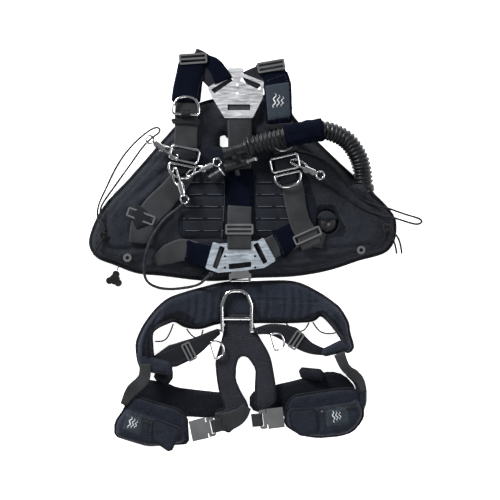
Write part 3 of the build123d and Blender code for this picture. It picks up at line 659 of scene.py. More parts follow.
class Thread:
    """Stitches of one body, laid on the piece under them, then made as one piece."""

    def __init__(self):
        self.points, self.faces = [], []

    def row(self, line, on, length=3.4, gap=2.2, radius=0.42):
        """Dashes along plan points, resting on the object given."""
        path = np.array(line, float)[:, :2]
        run = np.concatenate([[0], np.cumsum(np.linalg.norm(np.diff(path, axis=0), axis=1))])
        spot = 0.0
        while spot + length < run[-1]:
            ends = []
            for s in (spot, spot + length):
                x = np.interp(s, run, path[:, 0])
                y = np.interp(s, run, path[:, 1])
                hit, where, *_ = on.ray_cast(Vector((x, y, RAY_TOP)) * MM, Vector((0, 0, -1)))
                if hit:
                    ends.append(np.array([x, y, where.z / MM]))
            if len(ends) == 2:
                self.dash(ends[0], ends[1], radius)
            spot += length + gap

    def dash(self, a, b, radius):
        way = (b - a) / (np.linalg.norm(b - a) + 1e-9)
        side = np.array([-way[1], way[0], 0.0])
        start = len(self.points)
        for t, r in ((0, 0.4), (0.25, 1), (0.75, 1), (1, 0.4)):
            centre = a + (b - a) * t
            for k in range(5):
                turn = 2 * math.pi * k / 5
                offset = side * math.cos(turn) + np.array([0, 0, 1]) * math.sin(turn)
                self.points.append(centre + offset * radius * r + (0, 0, radius * 0.5))
        for ring in range(3):
            for k in range(5):
                m = (k + 1) % 5
                self.faces.append((start + ring * 5 + k, start + ring * 5 + m,
                                   start + ring * 5 + 5 + m, start + ring * 5 + 5 + k))
        self.faces.append(tuple(start + k for k in range(5))[::-1])
        self.faces.append(tuple(start + 15 + k for k in range(5)))

    def make(self, name, body, slot):
        return place(mesh(name, self.points, self.faces, "stitch"), body, slot)


vest_thread, harness_thread = Thread(), Thread()


# ---- cords: the routes of the frame's own tubes -----------------------------------------------
BUNGEE_D, CORD_D, ELASTIC_D = 4.0, 6.0, 3.0
LEFT_LOOP = [(-291.5, 45, 32), (-300, 62, 32), (-303, 84, 27), (-298, 107, 12),
             (-286, 133, 4), (-272, 165, 2.6), (-252, 199, 2.6), (-226, 228, 8),
             (-201, 247, 26), (-182, 256, 46), (-170, 253, 60), (-171, 243, 66),
             (-183, 236, 62), (-200, 224, 43), (-214, 209, 27), (-229, 190, 13),
             (-245, 169, 5), (-262, 146, 2.6), (-277, 124, 5), (-290, 105, 17),
             (-297, 86, 31), (-294, 65, 32), (-286.5, 45, 32)]
MAIN_CORD = [(-120.3, 107, 50), (-124, 98, 45.5), (-134, 89, 43), (-148, 79, 43),
             (-164, 65, 43.5), (-179, 45, 44), (-191, 24, 44), (-199, 2, 43),
             (-204, -20, 36), (-205, -42, 34), (-203, -58, 22), (-193, -70, 8),
             (-174, -77, 3.6), (-151, -79, 3.6), (-129, -77, 3.6), (-109, -74, 5),
             (-95, -70, 15), (-86, -65, 27), (-78, -57, 34), (-70, -50, 34)]
RIGHT_LOOP = [(112, 209, 42), (127, 206, 37), (147, 200, 31), (170, 188, 31),
              (193, 171, 31), (210, 150, 31), (226, 127, 31), (248, 106, 31),
              (279, 95, 31), (306, 88, 32), (330, 80, 16), (352, 74, 4),
              (370, 69, 2.6), (376, 62, 2.6), (366, 56, 2.6), (348, 60, 5),
              (331, 65, 17), (311, 70, 33), (281, 76, 31), (253, 87, 31),
              (225, 103, 31), (203, 120, 33), (186, 134, 39), (173, 144, 45),
              (160, 156, 50)]
TAILS = [[(-294.5, 21.5, 31), (-299, 14, 32), (-305, 3, 30), (-310, -8, 24)],
         [(304, 40.5, 31), (309, 30, 32), (316, 14, 28), (320, -4, 18)],
         [(308, 45.5, 31), (318, 34, 32), (327, 18, 26), (331, -4, 14)]]
ELASTIC_LOOPS = [
    [(-118, -162, 3), (-112, -172, 3), (-99, -182, 3), (-86, -178, 3), (-84, -164, 3)],
    [(-146, -152, 3), (-154, -176, 3), (-168, -190, 3), (-184, -188, 3)],
    [(90, -150, 3), (100, -163, 3), (117, -169, 3), (132, -163, 3), (138, -149, 3)],
    [(146, -148, 3), (156, -165, 3), (171, -172, 3), (187, -172, 3), (194, -170, 3)],
]


def free_cord(name, route, diameter, body, material, nodes=()):
    """Smooth cord whose control points are the route of the frame's tube."""
    data = bpy.data.curves.new(name, "CURVE")
    data.dimensions = "3D"
    line = data.splines.new("NURBS")
    line.points.add(len(route) - 1)
    for point, spot in zip(line.points, route):
        point.co = (*[c * MM for c in spot], 1)
    line.order_u = 3
    line.use_endpoint_u = True
    line.resolution_u = 12
    data.bevel_depth = diameter / 2 * MM
    data.bevel_resolution = 4
    data.use_fill_caps = True
    data.materials.append(MATS[material])
    obj = bpy.data.objects.new(name, data)
    bpy.context.scene.collection.objects.link(obj)
    place(obj, body, "bungee_black", *nodes)


def make_cords():
    """All free cords, each standing for its own tube in the frame."""
    free_cord("left_bungee", LEFT_LOOP, BUNGEE_D, "vest", "bungee_black",
              ["cord_left_loop"])
    free_cord("left_cord", MAIN_CORD, CORD_D, "vest", "cord_grey",
              ["cord_left_main"])
    free_cord("right_bungee", RIGHT_LOOP, BUNGEE_D, "vest", "bungee_black",
              ["cord_right_loop"])
    for number, route in enumerate(TAILS, 1):
        free_cord(f"bungee_tail_{number}", route, BUNGEE_D, "vest", "bungee_black",
                  ["cord_tails"] if number == 1 else [])
    for number, route in enumerate(ELASTIC_LOOPS, 1):
        free_cord(f"belt_elastic_{number}", route, ELASTIC_D, "harness", "bungee_black",
                  ["belt_loops"] if number == 1 else [])


make_cords()


# ---- wing ------------------------------------------------------------------------------------
WING = [(-92, 306), (0, 324), (66, 320), (97, 305), (106, 276), (195, 187), (298, 92),
        (317, 48), (300, 4), (240, -16), (178, -36), (108, -48), (14, -52), (-70, -58),
        (-172, -47), (-221, -42), (-267, -25), (-306, -8), (-318, 26), (-290, 90),
        (-232, 154), (-137, 262)]
WINDOW = [(-50, 218), (-34, 214), (4, 216), (5, 234), (-6, 240), (-34, 238), (-36, 246),
          (-50, 243)]
VALVE = (173.0, 61.0)
VALVE_WELL_R = 25.6
RECESS = [(155, 96), (190, 96), (215, 42), (207, 30), (178, 27), (150, 48)]
HOSE_END = (250.0, 128.0)
# plan line, depth and width of each; a negative depth raises a fold
WING_CREASES = [
    ([(-88, 288), (-140, 234), (-232, 132), (-276, 80), (-296, 40)], 3.8, 3.0),
    ([(-296, 14), (-262, 2), (-226, 6), (-196, 16)], 3.5, 5.0),
    ([(-262, 66), (-246, 30), (-240, 6)], 2.3, 6.0),
    ([(-176, 150), (-196, 120), (-228, 96)], -2.9, 7.0),
    ([(-150, 176), (-180, 150), (-214, 122)], 3.2, 6.0),
    ([(-160, -8), (-128, -26), (-96, -30), (-70, -44)], 3.2, 5.0),
    ([(-206, -32), (-178, -28), (-160, -16)], -2.6, 5.0),
    ([(102, 250), (160, 214), (212, 166), (250, 122)], 4.6, 3.0),
    ([(108, 232), (150, 204), (196, 160), (232, 112), (262, 84)], -3.2, 4.0),
    ([(120, 214), (150, 178), (186, 140), (214, 96)], 2.3, 5.0),
    ([(206, 176), (234, 140), (246, 118)], 4.3, 3.5),
    ([(236, 92), (262, 66), (286, 52)], 2.3, 6.0),
    ([(140, 14), (182, 6), (220, 6), (262, 12)], 3.2, 5.0),
    ([(104, -20), (146, -14), (186, -18), (232, -4)], 2.6, 5.0),
    ([(70, -36), (120, -34), (170, -26)], 3.2, 3.6),
    ([(222, 60), (240, 30), (246, 14)], 2.0, 6.0),
    ([(-40, 276), (10, 268), (60, 276)], 2.3, 8.0),
]
WING_TOP_FREE = 29.0
WELL_FLOOR, RECESS_DEPTH = 8.5, 5.0
HOSE_FOLD_TOP = 43.5
SLANT = 0.9
SLANT_LENGTH = 1.35
DEEP_CREASE = 2.3


def smoothstep(t):
    t = np.clip(t, 0, 1)
    return t * t * (3 - 2 * t)


def shape_wing(flat, top):
    """Well of the dump valve, its stiff recess, the fold over the hose and the flat middle."""
    recess = straight(RECESS, 4.0)
    in_recess = inside(flat, recess)
    depth = np.where(in_recess, smoothstep(distance(flat, recess) / 5.0), 0)
    top = top - RECESS_DEPTH * depth
    away = np.hypot(flat[:, 0] - VALVE[0], flat[:, 1] - VALVE[1])
    top = np.where(away < VALVE_WELL_R, WELL_FLOOR, top)
    top = np.minimum(top, WING_TOP_FREE)
    under_panel = inside(flat, straight(PANEL, 5.0))
    top = np.where(under_panel, np.minimum(top, level("back_panel", False) - 0.2), top)
    off = flat - np.array(HOSE_END)
    lean = (off[:, 0] - SLANT * off[:, 1]) / SLANT_LENGTH
    over = (off[:, 0] * SLANT + off[:, 1]) / SLANT_LENGTH
    dome = np.exp(-(lean / 20) ** 4) * smoothstep((over + 20) / 18)
    return top + np.maximum(0, HOSE_FOLD_TOP - top) * dome


def darken(obj, outlines):
    """Puts the dark cloth on the faces within some outlines: the belt's real lining, and painted shade
    in the wing's valve recess.
    """
    obj.data.materials.append(MATS["dark_lining"])
    centres = np.array([tuple(face.center)[:2] for face in obj.data.polygons]) / MM
    for outline in outlines:
        for face, hit in zip(obj.data.polygons, inside(centres, straight(outline, 4.0))):
            if hit:
                face.material_index = 1


def make_wing():
    """Cover of the folded wing, with its window and painted shade in the recess round the dump valve."""
    loop = spline(WING, 6.0, closed=True)
    window = straight(WINDOW, 5.0)
    turns = turned(32)
    rings = [np.column_stack([VALVE[0] + r * np.cos(turns), VALVE[1] + r * np.sin(turns)])
             for r in (VALVE_WELL_R - 1.0, VALVE_WELL_R + 0.2)]
    wing = pad("wing_cover", loop, 0.4, 27.0, "wing_nylon", holes=[window], step=5.6, edge=46,
               rim=0.24, wave=2.2, size=52, creases=WING_CREASES, seed=3.1, shape=shape_wing,
               extra=rings, swell=0.6)
    # the recess round the valve is painted dark: painted shade
    darken(wing, [RECESS])
    return wing


def trim_wing(wing):
    """Binding on the rims, and the seams of the wing."""
    loop = spline(WING, 6.0, closed=True)
    off = loop - np.array(HOSE_END)
    across = np.exp(-((off[:, 0] - SLANT * off[:, 1]) / 27) ** 4)
    lift = 34 * across * np.exp(-(np.hypot(*off.T) / 60) ** 4)
    rim = tape("wing_binding", loop, 4.0 + lift, "binding", width=8.5, thick=6.8)
    place(rim, "vest", "wing_nylon")
    window = straight(WINDOW, 4.0)
    place(tape("wing_window_binding", window, 7.0, "binding", width=4.0, thick=2.4), "vest",
          "wing_nylon")
    for inset in (0.965, 0.94):
        centre = np.array([-8.0, 120.0])
        vest_thread.row(centre + (loop - centre) * inset, wing)
    for points, depth, _ in WING_CREASES:
        if depth > DEEP_CREASE:
            vest_thread.row(spline(points, 5.0), wing, radius=0.36)
    recess = straight(RECESS, 4.0)
    vest_thread.row(recess + (recess - recess.mean(0)) * 0.08, wing)


def make_valve():
    """Dump valve: cap with finger scallops and a cloth flap over its upper half."""
    x, y = VALVE
    turns = turned(72)
    profile = [(23.8, 10.5), (23.8, 15), (22.6, 17.5), (20.5, 19.5), (19.8, 23.2), (18.2, 24.6),
               (12, 25.0), (7, 24.2), (6, 22.6), (0.5, 22.4)]
    points, faces = [], []
    for ring, (r, z) in enumerate(profile):
        for t in turns:
            scallop = 0.8 * math.cos(12 * t) if 0 < ring < 3 else 0
            points.append((x + (r + scallop) * math.cos(t), y + (r + scallop) * math.sin(t), z))
    size = len(turns)
    for ring in range(len(profile) - 1):
        for k in range(size):
            m = (k + 1) % size
            faces.append((ring * size + k, ring * size + m, (ring + 1) * size + m,
                          (ring + 1) * size + k))
    faces.append(tuple((len(profile) - 1) * size + k for k in range(size)))
    faces.append(tuple(range(size))[::-1])
    place(mesh("dump_valve_cap", points, faces, "valve_plastic"), "vest", "valve_plastic",
          "dump_valve")
    arc = [(x + 23 * math.cos(math.radians(a)), y + 23 * math.sin(math.radians(a)))
           for a in range(12, 172, 8)]
    flap = arc + [(x - 12, y + 8), (x, y + 4.5), (x + 12, y + 7)]
    stuffed("valve_flap", flap, 25.3, 28.2, "wing_nylon", body="vest", slot="wing_nylon",
            fill=0.1, step=3.0, edge=6, rim=0.5, swell=0.4, wave=0.5, size=18, floor=False)


# ---- back panel and its webbing rows ----------------------------------------------------------
PANEL = [(-134, 40), (-95, 27), (-20, 24), (60, 27), (140, 35), (152, 60), (150, 110),
         (122, 176), (60, 214), (-34, 214), (-54, 218), (-96, 218), (-130, 160)]
ROW_LEVELS = [53 + 25 * i for i in range(5)]
ROW_ENDS = ((-124, -40), (26, 130))
TACK = 38.0
LAST_ROW_CUT = 24
ROW_Z, TACK_Z = 32.6, 33.2
ROW_WIDTH, ROW_SHIFT = 20, 8


def make_panel():
    """Thin padded panel that carries the webbing rows."""
    loop = spline(PANEL, 5.0, closed=True)
    return pad("back_panel_pad", loop, 27.6, 31.9, "panel_cloth", step=6.0, edge=8, rim=0.4,
               wave=0.35, size=40, seed=5.0, floor=False, swell=0.5)


def make_rows():
    """Webbing rows: each bows up between its bar tacks, and a pale thread along each lower rim is
    painted highlight where the rims catch light.
    """
    pieces = []
    for number, y in enumerate(ROW_LEVELS):
        shift = ROW_SHIFT if number % 2 else 0
        for x_from, x_to in ROW_ENDS:
            if number == len(ROW_LEVELS) - 1 and x_to > 0:
                x_to -= LAST_ROW_CUT
            xs = np.arange(x_from, x_to + 0.1, 2.4)
            bow = np.abs(np.sin(np.pi * (xs - x_from - shift) / TACK)) ** 0.45
            z = ROW_Z + bow
            dip = y + 0.9 * np.array([ripple(x, y, 26, number) for x in xs])
            pieces.append(section_tube("row", np.column_stack([xs, dip, z]),
                                       steady(flat_profile(ROW_WIDTH, 1.3, 0.25)), "row_webbing"))
            # pale thread along each row's lower rim, broken at the bar tacks: painted highlight
            rim = np.column_stack([xs, dip - 9.8, z + 0.35])
            tacks = int((x_to - x_from) / TACK)
            for k in range(tacks + 2):
                near = x_from + shift + (k - 1) * TACK
                part = rim[(xs > near + 3) & (xs < near + TACK - 3)]
                if len(part) > 2:
                    pieces.append(section_tube("row_rim", part, circle_profile(0.75, 6),
                                               "rim_painted_highlight"))
            for k in range(tacks + 1):
                x = x_from + shift + k * TACK
                if x_from < x < x_to - 2:
                    tack = spline([(x, y + dy, TACK_Z) for dy in (-9, 0, 9)], 2.0)
                    pieces.append(section_tube("tack", tack, steady(flat_profile(2.2, 0.7)),
                                               "stitch"))
    place(joined("panel_rows", pieces), "vest", "pad_fabric")
    piping = tube("panel_piping", [(-38, 150, 32.6), (-38.5, 110, 32.8), (-41, 66, 32.8),
                                   (-44, 28, 32.4)], 1.1, "stitch")
    place(piping, "vest", "pad_fabric")


# ---- vest webbing ----------------------------------------------------------------------------
SPINE_X = -7.5
VELCRO = {"body": "vest", "slot": "velcro_navy"}
# route, width and waviness of the webbing folded through each side slide
SLIDE_FOLDS = [
    ([(-122, 214, 44), (-120, 205, 45.5), (-118, 196, 44.5), (-116, 186, 42)], 44, 0.3),
    ([(-128, 176, 42), (-124, 168, 40), (-121, 158, 39)], 40, 0.4),
    ([(84, 194, 44), (86, 184, 45.5), (88, 174, 44.5), (90, 166, 42)], 42, 0.3),
    ([(92, 158, 42), (95, 150, 40), (98, 142, 39)], 38, 0.4),
]
SHOULDER_ROLLS = {"left_shoulder_fold": 3.6, "right_shoulder_fold": 3.8}


def box_x(thread, centre, width, length, turn, on):
    """Sewn square with its two diagonals."""
    c, s = math.cos(math.radians(turn)), math.sin(math.radians(turn))

    def at(u, v):
        return (centre[0] + u * c - v * s, centre[1] + u * s + v * c)
    half_w, half_l = width / 2, length / 2
    corners = [at(-half_w, -half_l), at(half_w, -half_l), at(half_w, half_l), at(-half_w, half_l)]
    for a, b in zip(corners, corners[1:] + corners[:1]):
        thread.row([a, b], on)
    thread.row([corners[0], corners[2]], on)
    thread.row([corners[1], corners[3]], on)


def make_spine():
    """Webbing down the back, its front part and the hook-and-loop cover between them."""
    low = level("spine_webbing", False) + 1.2
    high = level("spine_webbing") - 1.2
    back = lay("spine_strap", low, [(SPINE_X, 304, 0), (SPINE_X, 270, 0.6), (SPINE_X + 1, 232, 0),
                                    (SPINE_X, 170, 0), (SPINE_X, 100, 0)],
               49, "spine_webbing", bow=0.5)
    stuffed("spine_velcro", [(-34.5, 88), (19.5, 88), (20, 171), (-35, 171)], 34.0, 38.6,
            "velcro_navy", **VELCRO, fill=0.2, step=5, edge=5, rim=0.5, wave=0.5, size=26,
            seed=8, floor=False)
    lay("spine_front", high, [(SPINE_X + 1, 94, -2.2), (SPINE_X, 76, -0.2), (SPINE_X, 48, 0),
                              (SPINE_X, 20, 0), (SPINE_X, 4, 0)], 49, bow=0.6, seed=2)
    bpy.context.view_layer.update()
    box_x(vest_thread, (SPINE_X, 252), 40, 22, 0, back)


def shoulder_fold(name, route):
    """Rolled webbing over the top of a shoulder slide."""
    radius = SHOULDER_ROLLS[name]
    roll = section_tube(name, spline(route, 3), circle_profile(radius, 10), "webbing_grey")
    place(roll, "vest", "webbing_grey")


def make_shoulders():
    """Each strap: webbing under the plate, the strap itself, its pad and the roll over its slide."""
    low = level("lumbar_plate", False) - 1.7
    over = low + 2.7
    hidden = {"material": "webbing_black", "slot": "velcro_navy", "bow": 0.6}
    cushion = {**VELCRO, "fill": 0.4, "step": 5, "edge": 7, "rim": 0.4, "wave": 0.5, "size": 30,
               "floor": False}
    lay("left_shoulder_under", low,
        [(-38, 338, 0), (-60, 364, 0.6), (-86, 388, 1.0), (-106, 398, 1.4)], [46, 50, 50, 50],
        **hidden)
    lay("left_shoulder_web", over,
        [(-104, 404, -1.0), (-108, 380, 0), (-114, 330, 0), (-117, 284, 0), (-118, 244, 0),
         (-119, 212, 0)], [50, 50, 49, 48, 47, 47], "shoulder_strap_left", bow=0.4, seed=4)
    pad_left = stuffed("left_shoulder_pad",
                       [(-131, 393), (-78, 393), (-86, 346), (-90, 308), (-146, 310),
                        (-144, 332)], over, over + 5.2, "velcro_navy", **cushion, seed=9)
    shoulder_fold("left_shoulder_fold",
                  [(-129, 404, over + 0.5), (-104, 406, over + 1.5), (-80, 408, over + 0.5)])
    lay("left_shoulder_sweep", over,
        [(-80, 398, 1.5), (-60, 386, 2), (-46, 366, 2), (-40, 352, 1.2)], [22, 30, 34, 40],
        material="velcro_navy", bow=1.2)
    lay("right_shoulder_under", low,
        [(6, 348, 0), (22, 358, 0.8), (38, 368, 1.4), (48, 374, 1.4)], [46, 44, 38, 34],
        **hidden)
    lay("right_shoulder_web", over,
        [(58, 390, -1), (61, 376, 0), (69, 340, 0), (75, 280, 0), (80, 240, 0), (88, 204, 0)],
        [50, 54, 50, 49, 49, 49], "shoulder_strap_right", bow=0.4, seed=6)
    pad_right = stuffed("right_shoulder_pad",
                        [(31, 372), (90, 372), (98, 347), (100, 268), (50, 263), (46, 320),
                         (46, 352)], over, over + 4.6, "velcro_navy", **cushion, seed=11)
    shoulder_fold("right_shoulder_fold",
                  [(27, 382, over + 0.8), (56, 390, over + 2.0), (84, 395, over + 0.8)])
    bpy.context.view_layer.update()
    for piece, inset in ((pad_left, ((-83, 362), (-91, 340), (-95, 314), (-138, 315))),
                         (pad_right, ((50, 352), (86, 366), (93, 345), (95, 272)))):
        vest_thread.row(inset, piece)
    patch("shoulder_patch", "vest", [(46, 342), (95, 350), (98, 278), (52, 270)],
          level("shoulder_strap_right") + 0.4, 84, (73, 310), 30)


WAVE_STEPS = 24


def patch(name, body, corners, z, turn, centre, size):
    """Grey woven patch with a plain mark of three waves, and its sewn border."""
    base = pad(name, straight(corners, 4.0, soft=2.0), z - 1.0, z + 0.8, "patch_grey", step=4,
               edge=2.0, rim=0.3, wave=0.15, size=30, swell=0.2, floor=False)
    place(base, body, "patch_grey")
    c, s = math.cos(math.radians(turn)), math.sin(math.radians(turn))
    pieces = []
    for row in range(3):
        line = []
        for t in np.arange(WAVE_STEPS + 1) / WAVE_STEPS:
            u = (t - 0.5) * size * (1.0 - 0.16 * row)
            v = (1 - row) * size * 0.27 + size * 0.075 * math.sin(t * 4 * math.pi)
            line.append((centre[0] + u * c - v * s, centre[1] + u * s + v * c, z + 1.0))
        width = 2.6 - 0.5 * row
        pieces.append(section_tube("wave", np.array(line),
                                   lambda i, n, w=width: flat_profile(
                                       w * (0.35 + 0.65 * math.sin(math.pi * i / (n - 1))), 0.7),
                                   "emblem"))
    place(joined(f"{name}_emblem", pieces), body, "patch_grey")
    thread = vest_thread if body == "vest" else harness_thread
    loop = np.array(corners, float)
    inner = loop.mean(0) + (loop - loop.mean(0)) * 0.9
    bpy.context.view_layer.update()
    for a, b in zip(inner, np.roll(inner, -1, 0)):
        thread.row([a, b], base)


def make_keepers():
    """Elastic bands that hold the rings' straight sides down."""
    z = level("shoulder_strap_left") - 3.2
    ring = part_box("chest_ring_left")
    top = ring[1].z / MM
    bands = [strap("keeper", [(-146, 268, z - 2), (-141, 269, z + 1.6), (-117, 269, z + 2.4),
                              (-92, 266, z + 1.6), (-88, 266, z - 2)], 11, "webbing_black"),
             strap("keeper", [(-118, 274, z + 1.6), (-118, 279, top + 0.4), (-118, 284, top + 1.5),
                              (-118, 289, top + 0.2), (-118, 292, z + 4)], 19, "webbing_black",
                   wave=0),
             strap("keeper", [(43, 256, z - 2), (48, 257, z + 1.4), (75, 258, z + 2.2),
                              (101, 259, z + 1.4), (106, 259, z - 2)], 10, "webbing_black")]
    place(joined("strap_keeper_bands", bands), "vest", "webbing_black", "strap_keepers")


def make_side_straps():
    """Side and waist webbing, its hook-and-loop patches and the folds through its slides."""
    z = level("lumbar_plate", False) + 1.3
    low = z - 2.9
    left = lay("left_side_strap", z,
               [(-122, 172, 0.5), (-124, 158, 0), (-150, 124, -1), (-186, 84, 0),
                (-204, 62, 0), (-210, 36, 0), (-212, 16, -2)], [44, 44, 48, 54, 50, 50, 48],
               "side_straps", bow=0.6, wave=0.7, seed=12)
    lay("left_side_tail", z, [(-232, 86, 1.8), (-214, 74, 2.4), (-203, 52, 1.4)], [30, 36, 36],
        material="webbing_black", bow=0.8)
    lay("right_side_strap", z,
        [(97, 152, 0.5), (102, 138, 0), (108, 100, -0.5), (118, 60, 0), (132, 34, 0),
         (143, 8, 0)], [42, 44, 42, 42, 44, 42], bow=0.6, wave=0.7, seed=13)
    lay("left_waist_strap", low,
        [(-46, -16, 0), (-62, -14, 0), (-90, -6, 0), (-122, 3, 0), (-150, -4, -1.5),
         (-182, -20, -3)], [44, 44, 46, 46, 40, 22], bow=0.6, seed=14)
    nap = {**VELCRO, "fill": 0.2, "step": 5, "edge": 4, "rim": 0.4, "wave": 0.4, "size": 25,
           "floor": False}
    velcro_left = stuffed("left_waist_velcro",
                          [(-64, 8), (-116, 23), (-121, -19), (-82, -33), (-68, -30)],
                          low + 0.6, low + 3.0, "velcro_navy", **nap, seed=15)
    lay("right_waist_strap", low,
        [(40, -4, 0), (56, 6, 0), (84, 20, 0), (120, 34, 0), (168, 22, -2.2)],
        [46, 46, 48, 48, 30], bow=0.5, seed=16)
    velcro_right = stuffed("right_waist_velcro", [(62, 38), (104, 60), (122, 26), (84, -14)],
                           low + 0.6, low + 3.2, "velcro_navy", **nap, seed=17)
    folds = [strap("through", route, width, "webbing_black", bow=0.8, wave=wave)
             for route, width, wave in SLIDE_FOLDS]
    place(joined("strap_folds", folds), "vest", "webbing_black")
    bpy.context.view_layer.update()
    vest_thread.row([(-118, 20), (-116, -16)], velcro_left)
    vest_thread.row([(66, 34), (86, -8)], velcro_right)
    box_x(vest_thread, (-210, 30), 38, 26, 8, left)


# ---- hose and inflator -----------------------------------------------------------------------
HOSE_ROUTE = [(252, 128, 20.5), (250.5, 148, 22), (246, 176, 27), (236, 201, 36),
              (215, 228, 47), (188, 243, 56), (158, 249, 64), (122, 243, 68), (86, 235, 70),
              (46, 225, 65), (10, 214.6, 58.4)]
FOLD_PITCH, HOSE_R = 8.7, 20.0
FLAP_OFFSET = (-2, -8, 23.0)


def make_hose():
    """Ribbed hose, and the hook-and-loop sleeve round its middle with the flap that closes it."""
    path = spline(HOSE_ROUTE, 1.1)
    run = np.concatenate([[0], np.cumsum(np.linalg.norm(np.diff(path, axis=0), axis=1))])
    turns = turned(40)

    def profile(i, n):
        wave = math.cos(2 * math.pi * run[i] / FOLD_PITCH)
        r = HOSE_R - 1.9 + 1.7 * math.copysign(abs(wave) ** 0.6, wave)
        return [(r * math.cos(t), r * math.sin(t)) for t in turns]
    hose = section_tube("hose_skin", path, profile, "hose_rubber")
    place(hose, "vest", "hose_rubber", "corrugated_hose")
    sleeve_path = spline([(162, 249.5, 64), (140, 246.5, 66.4), (112, 240.5, 69),
                          (87, 235.5, 69.8)], 3.0)

    def sleeve(i, n):
        swell = 22.6 + 0.7 * math.sin(i * 0.9) + (0.8 if i in (0, n - 1) else 0)
        return [((swell + 0.8 * math.cos(2 * t)) * math.cos(t), swell * math.sin(t))
                for t in turns]
    wrap = section_tube("hose_sleeve", sleeve_path, sleeve, "velcro_navy")
    place(wrap, "vest", "velcro_navy", "hose_wrap")
    flap = section_tube("sleeve_flap", sleeve_path + FLAP_OFFSET,
                        steady(flat_profile(13, 1.8, 0.3)), "velcro_navy")
    place(flap, "vest", "velcro_navy")


def ring_on(name, centre, way, radius, thick, width, material):
    """Round band on an axis."""
    way = np.array(way, float) / np.linalg.norm(way)
    path = [np.array(centre) + way * s for s in np.linspace(-width / 2, width / 2, 5)]
    bulge = [radius, radius + thick, radius + thick, radius + thick, radius]

    def profile(i, n):
        return [(bulge[i] * math.cos(t), bulge[i] * math.sin(t)) for t in turned(32)]
    return section_tube(name, path, profile, material)


def make_inflator():
    """Bands and ribs on the moulded body, and the white ring on its mouthpiece."""
    way = (48, 14.2, 1.0)
    # centre, radius, thickness and width
    bands = [((6, 213.4, 57.9), 13.5, 2.4, 9), ((-33, 201.9, 57.1), 12.6, 1.4, 4),
             ((-22, 205.1, 57.4), 12.6, 0.8, 2.4), ((-15, 207.2, 57.5), 12.6, 0.8, 2.4)]
    pieces = [ring_on("band", centre, way, radius, thick, width, "black_plastic")
              for centre, radius, thick, width in bands]
    for s in (0.12, 0.3, 0.82):
        centre = (-38 + 42 * s, 171.5 + 12 * s, 54)
        pieces.append(ring_on("band", centre, (42, 12, 0), 9.1, 0.9, 2.6, "black_plastic"))
    place(joined("inflator_bands", pieces), "vest", "black_plastic")
    mouth = (-29, -21.5, -2)
    ribs = []
    for s, radius in ((0.62, 10.7), (0.78, 11.3), (0.96, 12.2)):
        centre = (-38 + mouth[0] * s, 168.5 + mouth[1] * s, 54 + mouth[2] * s)
        ribs.append(ring_on("rib", centre, mouth, radius, 0.9, 2.2, "black_plastic"))
    place(joined("mouthpiece_ribs", ribs), "vest", "black_plastic")
    white = ring_on("mouth_ring", (-43.5, 164.2, 53.6), mouth, 9.4, 1.2, 3.2, "plate_bright")
    place(white, "vest", "plate_bright")
    clamp = ring_on("hose_clamp", (14, 216, 59), way, 20.4, 1.2, 6, "black_plastic")
    place(clamp, "vest", "black_plastic")


def knot(name, centre, size, radius, material, nodes=()):
    """Round stopper knot."""
    turns = turned(59)
    line = [(centre[0] + size * (1 + 0.42 * math.cos(3 * t)) * math.cos(2 * t),
             centre[1] + size * (1 + 0.42 * math.cos(3 * t)) * math.sin(2 * t),
             centre[2] + size * 0.45 * math.sin(3 * t)) for t in turns]
    piece = section_tube(name, np.array(line), circle_profile(radius, 10), material, closed=True)
    return place(piece, "vest", "bungee_black", *nodes)


def make_knots():
    knot("bungee_knot_left", (-290, 33, 34), 5.2, 2.3, "bungee_black", ["cord_knots"])
    knot("bungee_knot_right", (297, 50, 33.6), 5.0, 2.3, "bungee_black")
    knot("cord_knot_middle", (-66, -47, 32.6), 2.4, 2.4, "cord_grey")


# ---- harness ---------------------------------------------------------------------------------
BELT = [(-33, -66), (21, -65), (103, -65), (153, -85), (190, -110), (203, -123), (217, -148),
        (221, -171), (228, -200), (214, -208), (203, -177), (166, -134), (143, -144),
        (93, -147), (27, -147), (-46, -148), (-89, -159), (-120, -156), (-141, -145),
        (-155, -147), (-188, -166), (-190, -200), (-188, -240), (-213, -240), (-221, -196),
        (-211, -165), (-197, -142), (-178, -119), (-155, -100), (-122, -88), (-83, -77)]
BELT_FLAT_TOP, BELT_ARM_TOP = 15.6, 41.4
BELT_ENDS = {"left": [(-220, -205), (-188, -219), (-146, -231), (-147, -258), (-186, -252),
                      (-214, -247)],
             "right": [(161, -204), (205, -182), (228, -200), (214, -208), (166, -219)]}
BELT_CREASES = [([(x, -72), (x + 3, -110), (x - 2, -144)], 2.6, 3.0)
                for x in (-112, -96, -78, -62, -44, 34, 52, 88, 106, 122, 140)]
BELT_CREASES += [([(-30, -104), (40, -102), (110, -104), (156, -106)], 2.6, 2.2),
                 ([(-170, -126), (-196, -164), (-204, -200), (-202, -238)], 2.2, 2.6),
                 ([(180, -122), (204, -152), (214, -186)], 2.2, 2.6)]
BELT_LININGS = [
    [(-214, -246), (-180, -246), (-180, -168), (-150, -140), (-112, -166), (-92, -166),
     (-106, -136), (-132, -122), (-162, -132), (-190, -164), (-208, -206)],
    [(218, -214), (196, -177), (164, -128), (140, -150), (104, -152), (136, -131),
     (168, -120), (198, -148), (214, -182)],
]


def belt_height(flat):
    """How far each point of the belt has turned from lying flat to standing on edge."""
    left = smoothstep(((-132 - flat[:, 0]) + 0.55 * (-112 - flat[:, 1])) / 62)
    right = smoothstep(((flat[:, 0] - 152) + 0.7 * (-104 - flat[:, 1])) / 58)
    return np.where(flat[:, 0] < 0, left, right)


def shape_belt(flat, top):
    """Raises the arms of the belt, which stand on edge."""
    return top * (1 + (BELT_ARM_TOP / BELT_FLAT_TOP - 1) * belt_height(flat))


def make_belt():
    """Padded belt; the inner sides of its arms show their dark lining."""
    loop = spline(BELT, 5.0, closed=True)
    belt = pad("belt_pad", loop, 0.4, BELT_FLAT_TOP, "pad_fabric", step=5.0, edge=11, rim=0.42,
               wave=0.8, size=34, creases=BELT_CREASES, seed=21, shape=shape_belt, swell=0.5)
    darken(belt, BELT_LININGS)
    return belt


